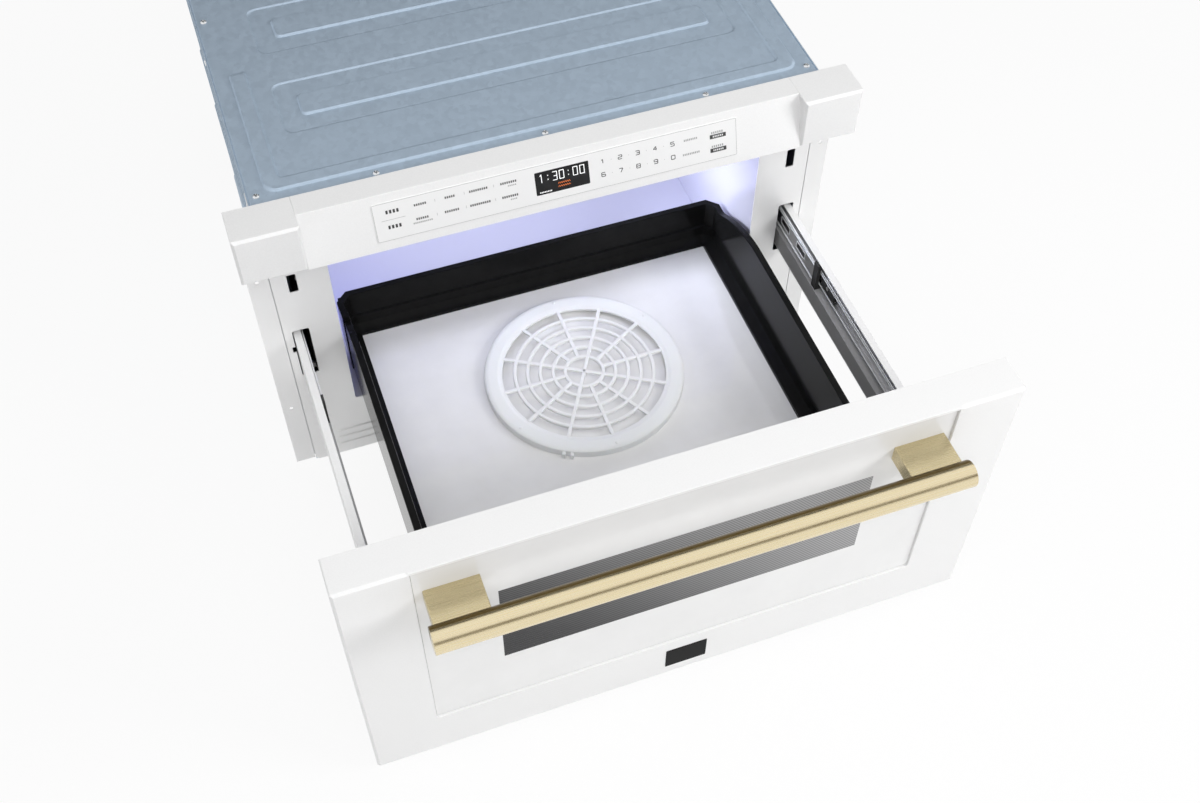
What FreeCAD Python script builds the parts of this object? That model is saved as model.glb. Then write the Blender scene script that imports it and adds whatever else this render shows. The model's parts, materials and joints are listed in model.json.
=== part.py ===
import FreeCAD, Part
import math
import os
import re
import Sketcher

# Microwave drawer, 30 inch class, drawn with the drawer fully open.
# Frame: X to the right, Y to the back, Z up, origin at the middle of the underside, millimetres.

DIMENSIONS = {
    # cabinet: folded sheet steel box that slides into the kitchen carcass
    "gauge": 1.2,
    "cab_half": 348.4,
    "cab_front": -280,
    "cab_back": 280,
    "cab_top": 478.7,
    "pan_lip": 20,
    "top_return": 16,
    "overrun": 5,
    "louvre_low": 60,
    "louvre_pitch": 14,
    "louvre_height": 3.6,
    "louvre_start": -190,
    "louvre_long": 90,
    "louvre_bank": 270,
    "inlet_left": -262,
    "inlet_right": -218,
    "inlet_low": 40,
    "inlet_high": 70,
    "outlet_pitch": 8,
    "outlet_height": 4,
    # lid: a raised rib along the front and part of each side, and three sunk frames round raised middles
    "cover_front": -272,
    "rib_outer": 327.5,
    "rib_inner": 309,
    "rib_front": -258,
    "rib_tail": -46,
    "rib_rise": 2.6,
    "moat_half": 285,
    "moat_long": 90.6,
    "moat_pitch": 151,
    "moat_start": -169,
    "moat_depth": 1.4,
    "middle_inset_x": 26,
    "middle_inset_y": 27,
    "middle_rise": 1,
    "screw_head": 4.2,
    "screw_shank": 1.8,
    "screw_rise": 2.4,
    "screw_grip": 6,
    "screw_row": -267.5,
    "screw_spread": 202.4,
    "screw_side": 338.6,
    "screw_near": -259.5,
    "screw_mid": 67.6,
    "screw_far": 268,
    # face plate with the oven mouth, the arm slots and the latch holes
    "mouth_half": 279,
    "mouth_low": 108.5,
    "mouth_high": 387,
    "slot_inner": 317,
    "slot_outer": 338.5,
    "slot_low": 181,
    "slot_high": 267,
    "latch_inner": 318,
    "latch_outer": 329,
    "latch_low": 335,
    "latch_high": 365,
    "plate_corner": 7,
    "mouth_corner": 3,
    "slot_corner": 3,
    "latch_corner": 2,
    "notch_low": 228,
    "notch_high": 238,
    "notch_deep": 4,
    "return_deep": 18,
    "return_gap": 2,
    "press_rib_inner": 262,
    "press_rib_outer": 313,
    "press_rib_low": 20,
    "press_rib_pitch": 14,
    "press_rib_radius": 2.4,
    # mounting flanges beside the face plate
    "flange_inner": 349.4,
    "flange_outer": 374.7,
    "flange_low": 6,
    "flange_return": 32,
    "bolt_half": 363.3,
    "bolt_low": 122,
    "bolt_high": 365,
    "bolt_radius": 2.7,
    # control hood over the mouth
    "hood_half": 380,
    "hood_front": -332,
    "hood_low": 418.8,
    "hood_top": 487,
    "hood_bevel": 3.4,
    "hood_wall": 2.5,
    "block_inner": 304,
    "brow_y": -311.2,
    "toe_y": -331.5,
    "fascia_wall": 2,
    "roof_gap": 0.2,
    "sole_gap": 0.6,
    "panel_half": 221.7,
    "panel_start": 10.5,
    "panel_end": 59.3,
    "panel_thick": 1,
    "display_left": -30.6,
    "display_right": 35.2,
    "display_start": 19.5,
    "display_end": 49,
    "board_depth": 9,
    "board_thick": 1.6,
    "board_half": 205,
    "board_start": 14,
    "board_end": 58,
    "relay_start": 20,
    "relay_end": 38,
    "relay_left": 90,
    "relay_right": 118,
    "relay_tall": 9,
    "buzzer_start": 24,
    "buzzer_end": 36,
    "buzzer_left": -70,
    "buzzer_right": -58,
    "buzzer_tall": 8,
    # oven cavity and what feeds it
    "oven_rear": 243,
    "stirrer_y": 0,
    "stirrer_reach": 96,
    "stirrer_low": 368,
    "stirrer_high": 372,
    "stirrer_bore": 5,
    "stirrer_shaft": 3,
    "shaft_deep": 12,
    "blade_window": 24,
    "blade_spread": 58,
    "can_radius": 25,
    "can_tall": 24,
    "dish_half": 125,
    "dish_back": 155,
    "dish_low": 360,
    "dish_skin": 2,
    "lamp_y": 170,
    "lamp_z": 345,
    "lamp_half": 20,
    "lamp_left": -312,
    "lamp_bore": 9,
    "bulb_left": -300,
    "bulb_radius": 7,
    "bulb_gap": 0.4,
    "vent_y": -60,
    "vent_z": 330,
    "vent_pitch": 12,
    "vent_radius": 2.5,
    "guide_front": 60,
    "guide_back": 140,
    "guide_left": -50,
    "guide_right": 90,
    "guide_top": 428,
    "guide_wall": 1.5,
    "guide_port": 34,
    "port_margin": 12,
    "antenna_rise": 19,
    "antenna_bore": 10,
    "antenna_radius": 8,
    "antenna_long": 24,
    "magnetron_width": 84,
    "magnetron_high": 462,
    "yoke_half": 38,
    "yoke_wall": 12,
    "yoke_sill": 4,
    "anode_rise": 36,
    "anode_radius": 18,
    "fin_half": 34,
    "fin_first": 17,
    "fin_pitch": 8,
    "fin_thick": 1,
    # transformer, capacitor and diode on the base pan
    "core_left": -120,
    "core_right": -30,
    "core_reach": 40,
    "core_top": 76,
    "coil_left": -128,
    "coil_right": -22,
    "coil_reach": 58,
    "coil_low": 16,
    "coil_high": 60,
    "cell_left": 40,
    "cell_right": 72,
    "cell_front": -20,
    "cell_back": 90,
    "cell_top": 50,
    "cap_inset": 5,
    "cap_long": 12,
    "cap_low": 14,
    "cap_high": 36,
    "tab_inset": 10,
    "tab_low": 20,
    "tab_high": 30,
    "tab_thick": 1,
    "tab_pitch": 8,
    "diode_radius": 3.2,
    "diode_front": 20,
    "diode_back": 60,
    # supply inlet, door switches and the brackets of the fixed slides
    "inlet_box_left": -270,
    "inlet_box_right": -210,
    "inlet_box_high": 80,
    "inlet_box_deep": 40,
    "inlet_room_deep": 34,
    "switch_near": 2,
    "switch_far": 14,
    "switch_deep": 42,
    "switch_below": 6,
    "switch_above": 2,
    "plunger_radius": 2,
    "plunger_y": -266,
    "plunger_z": 343,
    "plunger_back": 10,
    "plunger_tip": 1,
    "plunger_room": 12.5,
    "bracket_half": 20,
    "bracket_wall": 2,
    # door, seen from the front: two stiles, a bottom rail and a glass panel
    "door_half": 380,
    "door_front": -748.8,
    "door_back": -702.7,
    "door_rear": -697.7,
    "door_low": 11.6,
    "door_high": 412.9,
    "door_skin": 2,
    "core_half": 339.5,
    "core_low": 56,
    "core_high": 400.9,
    "core_skin": 1.2,
    "glass_half": 301,
    "glass_low": 89.5,
    "glass_high": 409.2,
    "glass_sunk": 3,
    "glass_thick": 4,
    "window_half": 214.6,
    "window_low": 181.5,
    "window_high": 324.6,
    "screen_thick": 0.8,
    "seal_thick": 0.6,
    "seal_margin": 12,
    "seal_wide": 12,
    "seal_below": 24,
    "seal_above": 8,
    "seal_clear": 6,
    "hook_side": 2.5,
    "hook_long": 24,
    "hook_low": 343,
    "hook_high": 353,
    "nose_start": 16,
    "nose_reach": 4,
    "badge_left": -18.3,
    "badge_right": 34.5,
    "badge_low": 31,
    "badge_high": 70,
    "badge_thick": 0.6,
    # bar handle
    "bar_radius": 15,
    "bar_half": 297,
    "bar_skin": 2,
    "bar_chamfer": 1.2,
    "bar_y": -799,
    "bar_z": 363,
    "post_inner": 231.5,
    "post_outer": 291.5,
    "post_low": 348,
    "post_high": 370,
    "post_screw": 3,
    "post_head": 4,
    "post_grip": 8,
    "fit": 0.08,
    # tray and the plate that is its floor
    "tray_inner": 262,
    "tray_outer": 271,
    "tray_low": 131,
    "tray_seat": 134,
    "tray_floor": 140,
    "tray_ledge": 145,
    "tray_top": 247,
    "tray_tail_top": 206,
    "tray_tail": -182,
    "tray_back_inner": -194,
    "tray_corner": 22,
    "floor_half": 247.5,
    "floor_tail": -198,
    "fall_start": -322,
    "fall_end": -212,
    # round vented rack on the tray floor
    "rack_x": 11,
    "rack_y": -370,
    "rack_radius": 131,
    "rack_opening": 107.5,
    "rack_low": 140.2,
    "rack_high": 152,
    "grille_low": 146.5,
    "ring_pitch": 16.5,
    "ring_first": 25,
    "ring_width": 4.5,
    "spoke_width": 5,
    "spoke_sink": 3,
    "grille_drop": 1,
    # drawer arms and the three-part ball slides
    "arm_wall": 337,
    "arm_inner": 335.5,
    "arm_flange": 321,
    "arm_low": 184,
    "arm_high": 259.6,
    "arm_tail": -252,
    "bar_bottom": 186,
    "bar_top": 213,
    "bar_side": 323.5,
    "slide_z": 236,
    "slide_web": 323.5,
    "slide_wall": 1.2,
    "outer_height": 21.6,
    "outer_lip": 333,
    "outer_front": -171.5,
    "outer_back": 228.5,
    "middle_web": 326.2,
    "middle_height": 17.6,
    "middle_lip": 333.9,
    "middle_front": -380,
    "middle_back": 20,
    "inner_lip": 329.5,
    "inner_height": 13,
    "hole_first": 30,
    "hole_pitch": 48,
    "hole_long": 24,
    "hole_half": 5,
    "bumper_long": 11,
    "bumper_inset": 0.6,
    "bumper_gap": 0.8,
    "lever_half": 18,
    "lever_y": -412,
    "lever_height": 9,
    "lever_thin": 330.4,
    "lever_thick": 333.6,
    "lever_pin": 3,
    # rack and pinion drive on the left arm
    "module_size": 2,
    "pinion_teeth": 12,
    "pinion_y": -263,
    "pinion_axle": 4,
    "pinion_inset": 1.5,
    "tooth_foot": 1.75,
    "tooth_middle": 1.2,
    "tooth_tip": 0.4,
    "tooth_sink": 1,
    "tooth_rise": 2.4,
    "tooth_short": 0.3,
    "case_front": -276.8,
    "case_back": -223,
    "case_drop": 26,
    "case_rise": 20,
    "motor_radius": 16,
    "motor_back": -168,
    "motor_inner": 283,
    "motor_outer": 318,
    # cooling fan
    "fan_x": 120,
    "fan_z": 55,
    "fan_y": 205,
    "fan_radius": 42,
    "fan_hub": 14,
    "fan_wide": 26,
    "fan_start": 213,
    "fan_margin": 8,
    "fan_gap": 3,
    "fan_wall": 4,
    "fan_mouth": 32,
    "fan_shaft": 2.5,
    "fan_can": 21,
    "fan_bearing": 184,
    "fan_can_front": 163,
    "fan_can_back": 199,
    "fan_tie": 46,
    "fan_tie_front": 195,
    "fan_arm": 20,
    "fan_arm_half": 6,
    "fan_plate": 2,
    "blade_thick": 2,
}

DOC = FreeCAD.newDocument("microwave_drawer")
SHEET = DOC.addObject("Spreadsheet::Sheet", "dim")
NODES = []


def fill_sheet():
    """Write every driving dimension into the sheet under its alias."""
    for row, (alias, value) in enumerate(DIMENSIONS.items(), start=1):
        SHEET.set("A%d" % row, alias)
        SHEET.set("B%d" % row, str(value))
        SHEET.setAlias("B%d" % row, alias)
    DOC.recompute()


def sheet_words(text):
    """Point every dimension's name in an expression at its cell."""
    def linked(match):
        word = match.group()
        return "dim." + word if word in DIMENSIONS else word
    return re.sub(r"[a-z_][a-z_0-9]*", linked, str(text))


def value_of(text):
    """Number that an expression gives now."""
    return float(SHEET.evalExpression(sheet_words(text)))


def bind(item, **bound):
    """Tie properties of an object to expressions over the sheet."""
    for prop, text in bound.items():
        item.setExpression(prop, sheet_words(text))
    return item


def place(item, x=None, y=None, z=None):
    """Tie the base point of an object's placement to expressions."""
    for axis, text in (("x", x), ("y", y), ("z", z)):
        if text is not None:
            item.setExpression(".Placement.Base." + axis, sheet_words(text))
    return item


def about(middle, half):
    """Span that reaches as far on each side of a middle."""
    return ("(%s) - (%s)" % (middle, half), "(%s) + (%s)" % (middle, half))


def block(name, x, y, z):
    """Box between two expressions on each axis."""
    box = place(DOC.addObject("Part::Box", name), x[0], y[0], z[0])
    spans = ["(%s) - (%s)" % (high, low) for low, high in (x, y, z)]
    return bind(box, Length=spans[0], Width=spans[1], Height=spans[2])


def rod(name, axis, at, radius, span):
    """Cylinder along an axis; at gives its place on the other two axes, in X, Y, Z order."""
    turns = {"x": ((0, 1, 0), 90), "y": ((1, 0, 0), -90), "z": ((0, 0, 1), 0)}
    vector, angle = turns[axis]
    item = DOC.addObject("Part::Cylinder", name)
    item.Placement = FreeCAD.Placement(FreeCAD.Vector(), FreeCAD.Rotation(FreeCAD.Vector(*vector), angle))
    where = dict(zip([letter for letter in "xyz" if letter != axis], at))
    place(item, **{axis: span[0]}, **where)
    return bind(item, Radius=radius, Height="(%s) - (%s)" % (span[1], span[0]))


def frustum(name, x, y, z, slope):
    """Raised panel: a box whose four sides lean in by slope from bottom to top."""
    item = DOC.addObject("Part::Wedge", name)
    item.Placement = FreeCAD.Placement(FreeCAD.Vector(), FreeCAD.Rotation(FreeCAD.Vector(1, 0, 0), 90))
    bind(item, Xmin=x[0], Xmax=x[1], Ymin=z[0], Ymax=z[1], Zmin="-(%s)" % y[1], Zmax="-(%s)" % y[0])
    return bind(item, X2min="%s + %s" % (x[0], slope), X2max="%s - %s" % (x[1], slope),
                Z2min="-(%s) + %s" % (y[1], slope), Z2max="-(%s) - %s" % (y[0], slope))


def fuse(name, *items):
    """One solid from several that touch."""
    joined = DOC.addObject("Part::MultiFuse", name)
    joined.Shapes = list(items)
    joined.Refine = True
    return joined


def group(name, items):
    """Several separate solids kept in one sub-part."""
    kept = DOC.addObject("Part::Compound", name)
    kept.Links = list(items)
    return kept


def cut(name, base, *tools):
    """Base with the tools taken away."""
    tool = tools[0] if len(tools) == 1 else fuse(name + "_tools", *tools)
    left = DOC.addObject("Part::Cut", name)
    left.Base = base
    left.Tool = tool
    return left


def mirrored(name, item):
    """Left-hand copy of a right-hand piece."""
    copy = DOC.addObject("Part::Mirroring", name)
    copy.Source = item
    copy.Base = FreeCAD.Vector(0, 0, 0)
    copy.Normal = FreeCAD.Vector(1, 0, 0)
    return copy


def sketch_on(body, plane, name, offset):
    """Sketch on one of the body's own origin planes, moved along its normal."""
    base = [item for item in body.Origin.OriginFeatures if item.Role == plane][0]
    sketch = body.newObject("Sketcher::SketchObject", name)
    sketch.AttachmentSupport = [(base, "")]
    sketch.MapMode = "FlatFace"
    sketch.setExpression(".AttachmentOffset.Base.z", sheet_words(offset))
    return sketch


def draw_loop(sketch, points):
    """Closed outline through points whose two coordinates are each tied to the sheet."""
    first = sketch.GeometryCount
    places = [FreeCAD.Vector(value_of(u), value_of(v), 0) for u, v in points]
    count = len(places)
    for step in range(count):
        sketch.addGeometry(Part.LineSegment(places[step], places[(step + 1) % count]), False)
    for step in range(count):
        follow = first + (step + 1) % count
        sketch.addConstraint(Sketcher.Constraint("Coincident", first + step, 2, follow, 1))
    for step, (u, v) in enumerate(points):
        for kind, text, number in (("DistanceX", u, places[step].x), ("DistanceY", v, places[step].y)):
            index = sketch.addConstraint(Sketcher.Constraint(kind, first + step, 1, number))
            sketch.setExpression("Constraints[%d]" % index, sheet_words(text))


def rectangle(u, v):
    """Corner points of a rectangle, anticlockwise."""
    return [(u[0], v[0]), (u[1], v[0]), (u[1], v[1]), (u[0], v[1])]


def profile(name, plane, loops, span, *rounds):
    """Body padded from closed outlines over span; each round is a radius and the corners that get it."""
    body = DOC.addObject("PartDesign::Body", name)
    offset = "-(%s)" % span[1] if plane == "XZ_Plane" else span[0]
    sketch = sketch_on(body, plane, name + "_sketch", offset)
    for loop in loops:
        draw_loop(sketch, loop)
    tip = body.newObject("PartDesign::Pad", name + "_pad")
    tip.Profile = sketch
    bind(tip, Length="(%s) - (%s)" % (span[1], span[0]))
    DOC.recompute()
    for number, (radius, corners) in enumerate(rounds):
        fillet = body.newObject("PartDesign::Fillet", "%s_fillet_%d" % (name, number))
        fillet.Base = (tip, edges_at(tip.Shape, plane, corners))
        bind(fillet, Radius=radius)
        DOC.recompute()
        tip = fillet
    body.Tip = tip
    return body


def edges_at(shape, plane, corners):
    """Names of the edges that run straight through the given corner points of an outline."""
    picks = {"XY_Plane": (0, 1), "XZ_Plane": (0, 2), "YZ_Plane": (1, 2)}[plane]
    wanted = [(value_of(u), value_of(v)) for u, v in corners]
    names = []
    for number, edge in enumerate(shape.Edges, start=1):
        ends = [(vertex.Point[picks[0]], vertex.Point[picks[1]]) for vertex in edge.Vertexes]
        for u, v in wanted:
            if all(math.hypot(end[0] - u, end[1] - v) < 0.01 for end in ends):
                names.append("Edge%d" % number)
    return names


def node(name, item):
    """Name a finished sub-part; its label names its file."""
    item.Label = name
    NODES.append(item)
    return item


# ---------------------------------------------------------------- cabinet

def base_pan():
    """Bottom of the cabinet, turned up along both sides."""
    wide = "cab_half - gauge"
    outline = [("-(%s)" % wide, "0"), (wide, "0"), (wide, "pan_lip"), (wide + " - gauge", "pan_lip"),
               (wide + " - gauge", "gauge"), ("gauge - (%s)" % wide, "gauge"),
               ("gauge - (%s)" % wide, "pan_lip"), ("-(%s)" % wide, "pan_lip")]
    node("base_pan", profile("base_pan", "XZ_Plane", [outline], ("cab_front + gauge", "cab_back - gauge")))


def side_panels(screw_holes):
    """Outer side walls with a turned-in top edge and pressed-through louvres."""
    outline = [("cab_half", "0"), ("cab_half", "cab_top - gauge"),
               ("cab_half - top_return", "cab_top - gauge"),
               ("cab_half - top_return", "cab_top - 2 * gauge"),
               ("cab_half - gauge", "cab_top - 2 * gauge"), ("cab_half - gauge", "0")]
    wall = profile("side_wall", "XZ_Plane", [outline], ("cab_front + gauge", "cab_back"))
    slots = []
    for bank in range(2):
        start = "louvre_start + %d * louvre_bank" % bank
        for step in range(6):
            low = "louvre_low + %d * louvre_pitch" % step
            slots.append(block("louvre_%d_%d" % (bank, step), ("cab_half - 2 * gauge", "cab_half + gauge"),
                               (start, start + " + louvre_long"), (low, low + " + louvre_height")))
    right = cut("side_right", wall, *slots, screw_holes)
    node("side_panel_right", right)
    node("side_panel_left", mirrored("side_left", right))


def rear_panel():
    """Back wall with the fan outlet and a notch in its lower edge that the supply inlet box fills."""
    through = ("cab_back - 2 * gauge", "cab_back + gauge")
    sheet = block("rear_sheet", ("gauge - cab_half", "cab_half - gauge"), ("cab_back - gauge", "cab_back"),
                  ("0", "cab_top - 2 * gauge"))
    holes = [block("rear_notch", ("inlet_box_left - fit", "inlet_box_right + fit"), through,
                   ("-gauge", "inlet_box_high + fit"))]
    for step in range(-4, 5):
        low = "fan_z + %d * outlet_pitch - outlet_height / 2" % step
        holes.append(block("outlet_%d" % (step + 4), ("fan_x - fan_radius + 6", "fan_x + fan_radius - 6"),
                           through, (low, low + " + outlet_height")))
    node("rear_panel", cut("rear_cut", sheet, *holes))


def screw_places():
    """Places of the cover screws, in X and Y."""
    front = [(x, "screw_row") for x in ("-screw_spread", "0", "screw_spread")]
    sides = [(x, y) for y in ("screw_near", "screw_mid", "screw_far") for x in ("-screw_side", "screw_side")]
    return front + sides


def cover_screws():
    """Round-headed screws, one sub-part of separate solids, and the holes they need."""
    holes = []
    screws = []
    for number, (x, y) in enumerate(screw_places()):
        holes.append(rod("screw_hole_%d" % number, "z", (x, y), "screw_shank + 4 * fit",
                         ("cab_top - 3 * gauge", "cab_top + gauge")))
        shank = rod("shank_%d" % number, "z", (x, y), "screw_shank", ("cab_top - screw_grip", "cab_top"))
        head = rod("head_%d" % number, "z", (x, y), "screw_head", ("cab_top", "cab_top + screw_rise"))
        screws.append(fuse("screw_%d" % number, shank, head))
    node("cover_screws", group("screws", screws))
    return fuse("screw_holes", *holes)


def rib_outline(inset):
    """Outline of the lid's rib: along the front and back along part of each side, drawn in by an inset."""
    out, inner = "rib_outer - %s" % inset, "rib_inner + %s" % inset
    front, tail = "rib_front + %s" % inset, "rib_tail - %s" % inset
    heel = "rib_front + rib_outer - rib_inner - %s" % inset
    return [("-(%s)" % out, front), (out, front), (out, tail), (inner, tail), (inner, heel),
            ("-(%s)" % inner, heel), ("-(%s)" % inner, tail), ("-(%s)" % out, tail)]


def top_cover(screw_holes):
    """Lid pressed with a rib at its edge and with three sunk frames round raised middles."""
    under = "cab_top - gauge"
    sheet = block("cover_sheet", ("-cab_half", "cab_half"), ("cover_front", "cab_back"), (under, "cab_top"))
    rib = profile("rib_strip", "XY_Plane", [rib_outline("0")], (under, "cab_top + rib_rise"))
    hollow = profile("rib_hollow", "XY_Plane", [rib_outline("gauge")],
                     (under + " - gauge", "cab_top + rib_rise - gauge"))
    across = ("-moat_half", "moat_half")
    within = ("gauge - moat_half", "moat_half - gauge")
    middle = ("middle_inset_x - moat_half", "moat_half - middle_inset_x")
    core = ("middle_inset_x - moat_half + gauge", "moat_half - middle_inset_x - gauge")
    dishes = [sheet, rib]
    rooms = []
    middles = []
    spaces = [hollow, screw_holes]
    for step in range(3):
        near = "moat_start + %d * moat_pitch" % step
        far = near + " + moat_long"
        rise = (near + " + middle_inset_y", far + " - middle_inset_y")
        dishes.append(block("dish_%d" % step, across, (near, far), (under + " - moat_depth", "cab_top")))
        rooms.append(block("moat_%d" % step, within, (near + " + gauge", far + " - gauge"),
                           ("cab_top - moat_depth", "cab_top + gauge")))
        middles.append(frustum("middle_%d" % step, middle, rise,
                               (under + " - moat_depth", "cab_top + middle_rise"), "gauge"))
        spaces.append(frustum("middle_space_%d" % step, core, (rise[0] + " + gauge", rise[1] + " - gauge"),
                              ("cab_top - moat_depth - 2 * gauge", "cab_top + middle_rise - gauge"), "gauge"))
    dished = cut("cover_dished", fuse("cover_raised", *dishes), *rooms)
    node("top_cover", cut("cover_cut", fuse("cover_whole", dished, *middles), *spaces))


def face_plate(screw_holes):
    """Front of the cabinet: oven mouth, two arm slots, two latch holes and pressed ribs."""
    outer = rectangle(("-cab_half", "cab_half"), ("0", "cab_top - gauge"))
    mouth = rectangle(("-mouth_half", "mouth_half"), ("mouth_low", "mouth_high"))
    slots = [rectangle(span, ("slot_low", "slot_high"))
             for span in (("slot_inner", "slot_outer"), ("-slot_outer", "-slot_inner"))]
    latches = [rectangle(span, ("latch_low", "latch_high"))
               for span in (("latch_inner", "latch_outer"), ("-latch_outer", "-latch_inner"))]
    plate = profile("front_plate", "XZ_Plane", [outer, mouth] + slots + latches,
                    ("cab_front", "cab_front + gauge"), ("plate_corner", outer[:2]), ("mouth_corner", mouth[:2]),
                    ("slot_corner", sum(slots, [])), ("latch_corner", sum(latches, [])))
    edge = block("front_return", ("top_return + return_gap - cab_half", "cab_half - top_return - return_gap"),
                 ("cab_front", "cab_front + return_deep"), ("cab_top - 2 * gauge", "cab_top - gauge"))
    ribs = []
    for near, far in (("press_rib_inner", "press_rib_outer"), ("-press_rib_outer", "-press_rib_inner")):
        for step in range(3):
            height = "press_rib_low + %d * press_rib_pitch" % step
            ribs.append(rod("press_%d" % len(ribs), "x", ("cab_front + gauge / 2", height),
                            "press_rib_radius", (near, far)))
    notch = block("slot_notch", ("-slot_outer - notch_deep", "1 - slot_outer"),
                  ("cab_front - gauge", "cab_front + 2 * gauge"), ("notch_low", "notch_high"))
    back = block("rib_back", ("-cab_half", "cab_half"), ("cab_front + gauge", "cab_front + overrun"),
                 ("gauge", "press_rib_low + 3 * press_rib_pitch"))
    whole = fuse("front_whole", plate, edge, *ribs)
    node("face_plate", cut("front_cut", whole, back, notch, screw_holes))


def flanges():
    """Angle strips beside the face plate that take the fixing screws, a narrow gap away from it."""
    outline = [("flange_inner", "cab_front"), ("flange_outer", "cab_front"),
               ("flange_outer", "cab_front + gauge"), ("flange_inner + gauge", "cab_front + gauge"),
               ("flange_inner + gauge", "cab_front + flange_return"),
               ("cab_half", "cab_front + flange_return"), ("cab_half", "cab_front + 4 * gauge"),
               ("flange_inner", "cab_front + 4 * gauge")]
    strip = profile("flange_strip", "XY_Plane", [outline], ("flange_low", "cab_top - gauge"))
    holes = [rod(height + "_hole", "y", ("bolt_half", height), "bolt_radius",
                 ("cab_front - overrun", "cab_front + overrun")) for height in ("bolt_low", "bolt_high")]
    right = cut("flange_cut", strip, *holes)
    node("mounting_flanges", group("flange_pair", [right, mirrored("flange_mirror", right)]))


# ---------------------------------------------------------------- control hood

SLANT = "sqrt((toe_y - brow_y)^2 + (hood_low - hood_top)^2)"


def on_slope(along, inward):
    """Point at a distance down the leaning fascia and a depth behind its front."""
    step_y = "(toe_y - brow_y) / %s" % SLANT
    step_z = "(hood_low - hood_top) / %s" % SLANT
    return ("brow_y + (%s) * (%s) - (%s) * (%s)" % (along, step_y, inward, step_z),
            "hood_top + (%s) * (%s) + (%s) * (%s)" % (along, step_z, inward, step_y))


def slope_plate(name, along, depth, span):
    """Plate that lies parallel to the fascia."""
    outline = [on_slope(along[0], depth[0]), on_slope(along[1], depth[0]),
               on_slope(along[1], depth[1]), on_slope(along[0], depth[1])]
    return profile(name, "YZ_Plane", [outline], span)


def hood():
    """End blocks, hood shell, leaning fascia, touch panel, display and control board."""
    outline = [("hood_front", "hood_low"), ("cab_front", "hood_low"), ("cab_front", "hood_top"),
               ("hood_front + hood_bevel", "hood_top"), ("hood_front", "hood_top - hood_bevel")]
    solid = profile("end_block", "YZ_Plane", [outline], ("block_inner", "hood_half"))
    hollow = block("end_hollow", ("block_inner + hood_wall", "hood_half - hood_wall"),
                   ("hood_front + hood_wall", "cab_front + overrun"),
                   ("hood_low + hood_wall", "hood_top - hood_wall"))
    right = cut("end_cut", solid, hollow)
    node("hood_end_block_right", right)
    node("hood_end_block_left", mirrored("end_mirror", right))
    inside = ("-block_inner", "block_inner")
    top = block("hood_roof", inside, ("brow_y + fascia_wall + roof_gap", "cab_front"),
                ("hood_top - gauge", "hood_top"))
    low = block("hood_sole", inside, ("toe_y + fascia_wall + sole_gap", "cab_front"),
                ("hood_low", "hood_low + gauge"))
    web = block("hood_web", inside, ("cab_front - gauge", "cab_front"), ("hood_low", "hood_top"))
    node("hood_shell", fuse("hood_fold", top, low, web))
    fascia = profile("fascia_sheet", "YZ_Plane", [[
        ("brow_y", "hood_top"), ("toe_y", "hood_low"), ("toe_y + fascia_wall", "hood_low"),
        ("brow_y + fascia_wall", "hood_top")]], inside)
    window = slope_plate("display_space", ("display_start", "display_end"), ("-overrun", "board_depth"),
                         ("display_left", "display_right"))
    node("control_fascia", cut("fascia_cut", fascia, window))
    node("touch_panel", slope_plate("touch_plate", ("panel_start", "panel_end"), ("-panel_thick", "0"),
                                    ("-panel_half", "panel_half")))
    node("display_module", slope_plate("display_block", ("display_start", "display_end"),
                                       ("0", "board_depth"), ("display_left", "display_right")))
    behind = "board_depth + board_thick"
    board = slope_plate("board_plate", ("board_start", "board_end"), ("board_depth", behind),
                        ("-board_half", "board_half"))
    relay = slope_plate("board_relay", ("relay_start", "relay_end"), (behind, "board_depth + relay_tall"),
                        ("relay_left", "relay_right"))
    buzzer = slope_plate("board_buzzer", ("buzzer_start", "buzzer_end"),
                         (behind, "board_depth + buzzer_tall"), ("buzzer_left", "buzzer_right"))
    node("control_board", fuse("board_whole", board, relay, buzzer))


# ---------------------------------------------------------------- oven and its supply

def cavity():
    """Enamelled oven box, open at the front, with ports for wave guide, stirrer and lamp."""
    outer = block("oven_outer", ("-mouth_half - gauge", "mouth_half + gauge"),
                  ("cab_front + gauge", "oven_rear + gauge"), ("mouth_low - gauge", "mouth_high + gauge"))
    inner = block("oven_inner", ("-mouth_half", "mouth_half"), ("cab_front", "oven_rear"),
                  ("mouth_low", "mouth_high"))
    roof = about("mouth_high", "overrun")
    port = block("wave_port", ("-guide_port", "guide_port"),
                 ("guide_front + port_margin", "guide_back - port_margin"), roof)
    shaft = rod("stirrer_port", "z", ("0", "stirrer_y"), "stirrer_bore", roof)
    lamp_at = ("lamp_y", "lamp_z")
    lamp = rod("lamp_port", "x", lamp_at, "lamp_bore", about("-mouth_half", "overrun"))
    vents = []
    for row in range(3):
        for column in range(8):
            at = ("vent_y + %d * vent_pitch" % column, "vent_z + %d * vent_pitch" % row)
            vents.append(rod("vent_%d_%d" % (row, column), "x", at, "vent_radius", about("mouth_half", "overrun")))
    node("oven_cavity", cut("oven_cut", outer, inner, port, shaft, lamp, *vents))
    dish = block("dish_outer", ("-dish_half", "dish_half"), ("-dish_half", "dish_back"),
                 ("dish_low", "mouth_high"))
    space = block("dish_inner", ("dish_skin - dish_half", "dish_half - dish_skin"),
                  ("dish_skin - dish_half", "dish_back - dish_skin"),
                  ("dish_low + dish_skin", "mouth_high + 1"))
    node("stirrer_cover", cut("dish_cut", dish, space))
    holder = block("lamp_holder", ("lamp_left", "-mouth_half - gauge"), about("lamp_y", "lamp_half"),
                   about("lamp_z", "lamp_half"))
    bulb = rod("lamp_bulb", "x", lamp_at, "bulb_radius", ("bulb_left", "-mouth_half - bulb_gap"))
    node("cavity_lamp", fuse("lamp_whole", holder, bulb))


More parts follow.
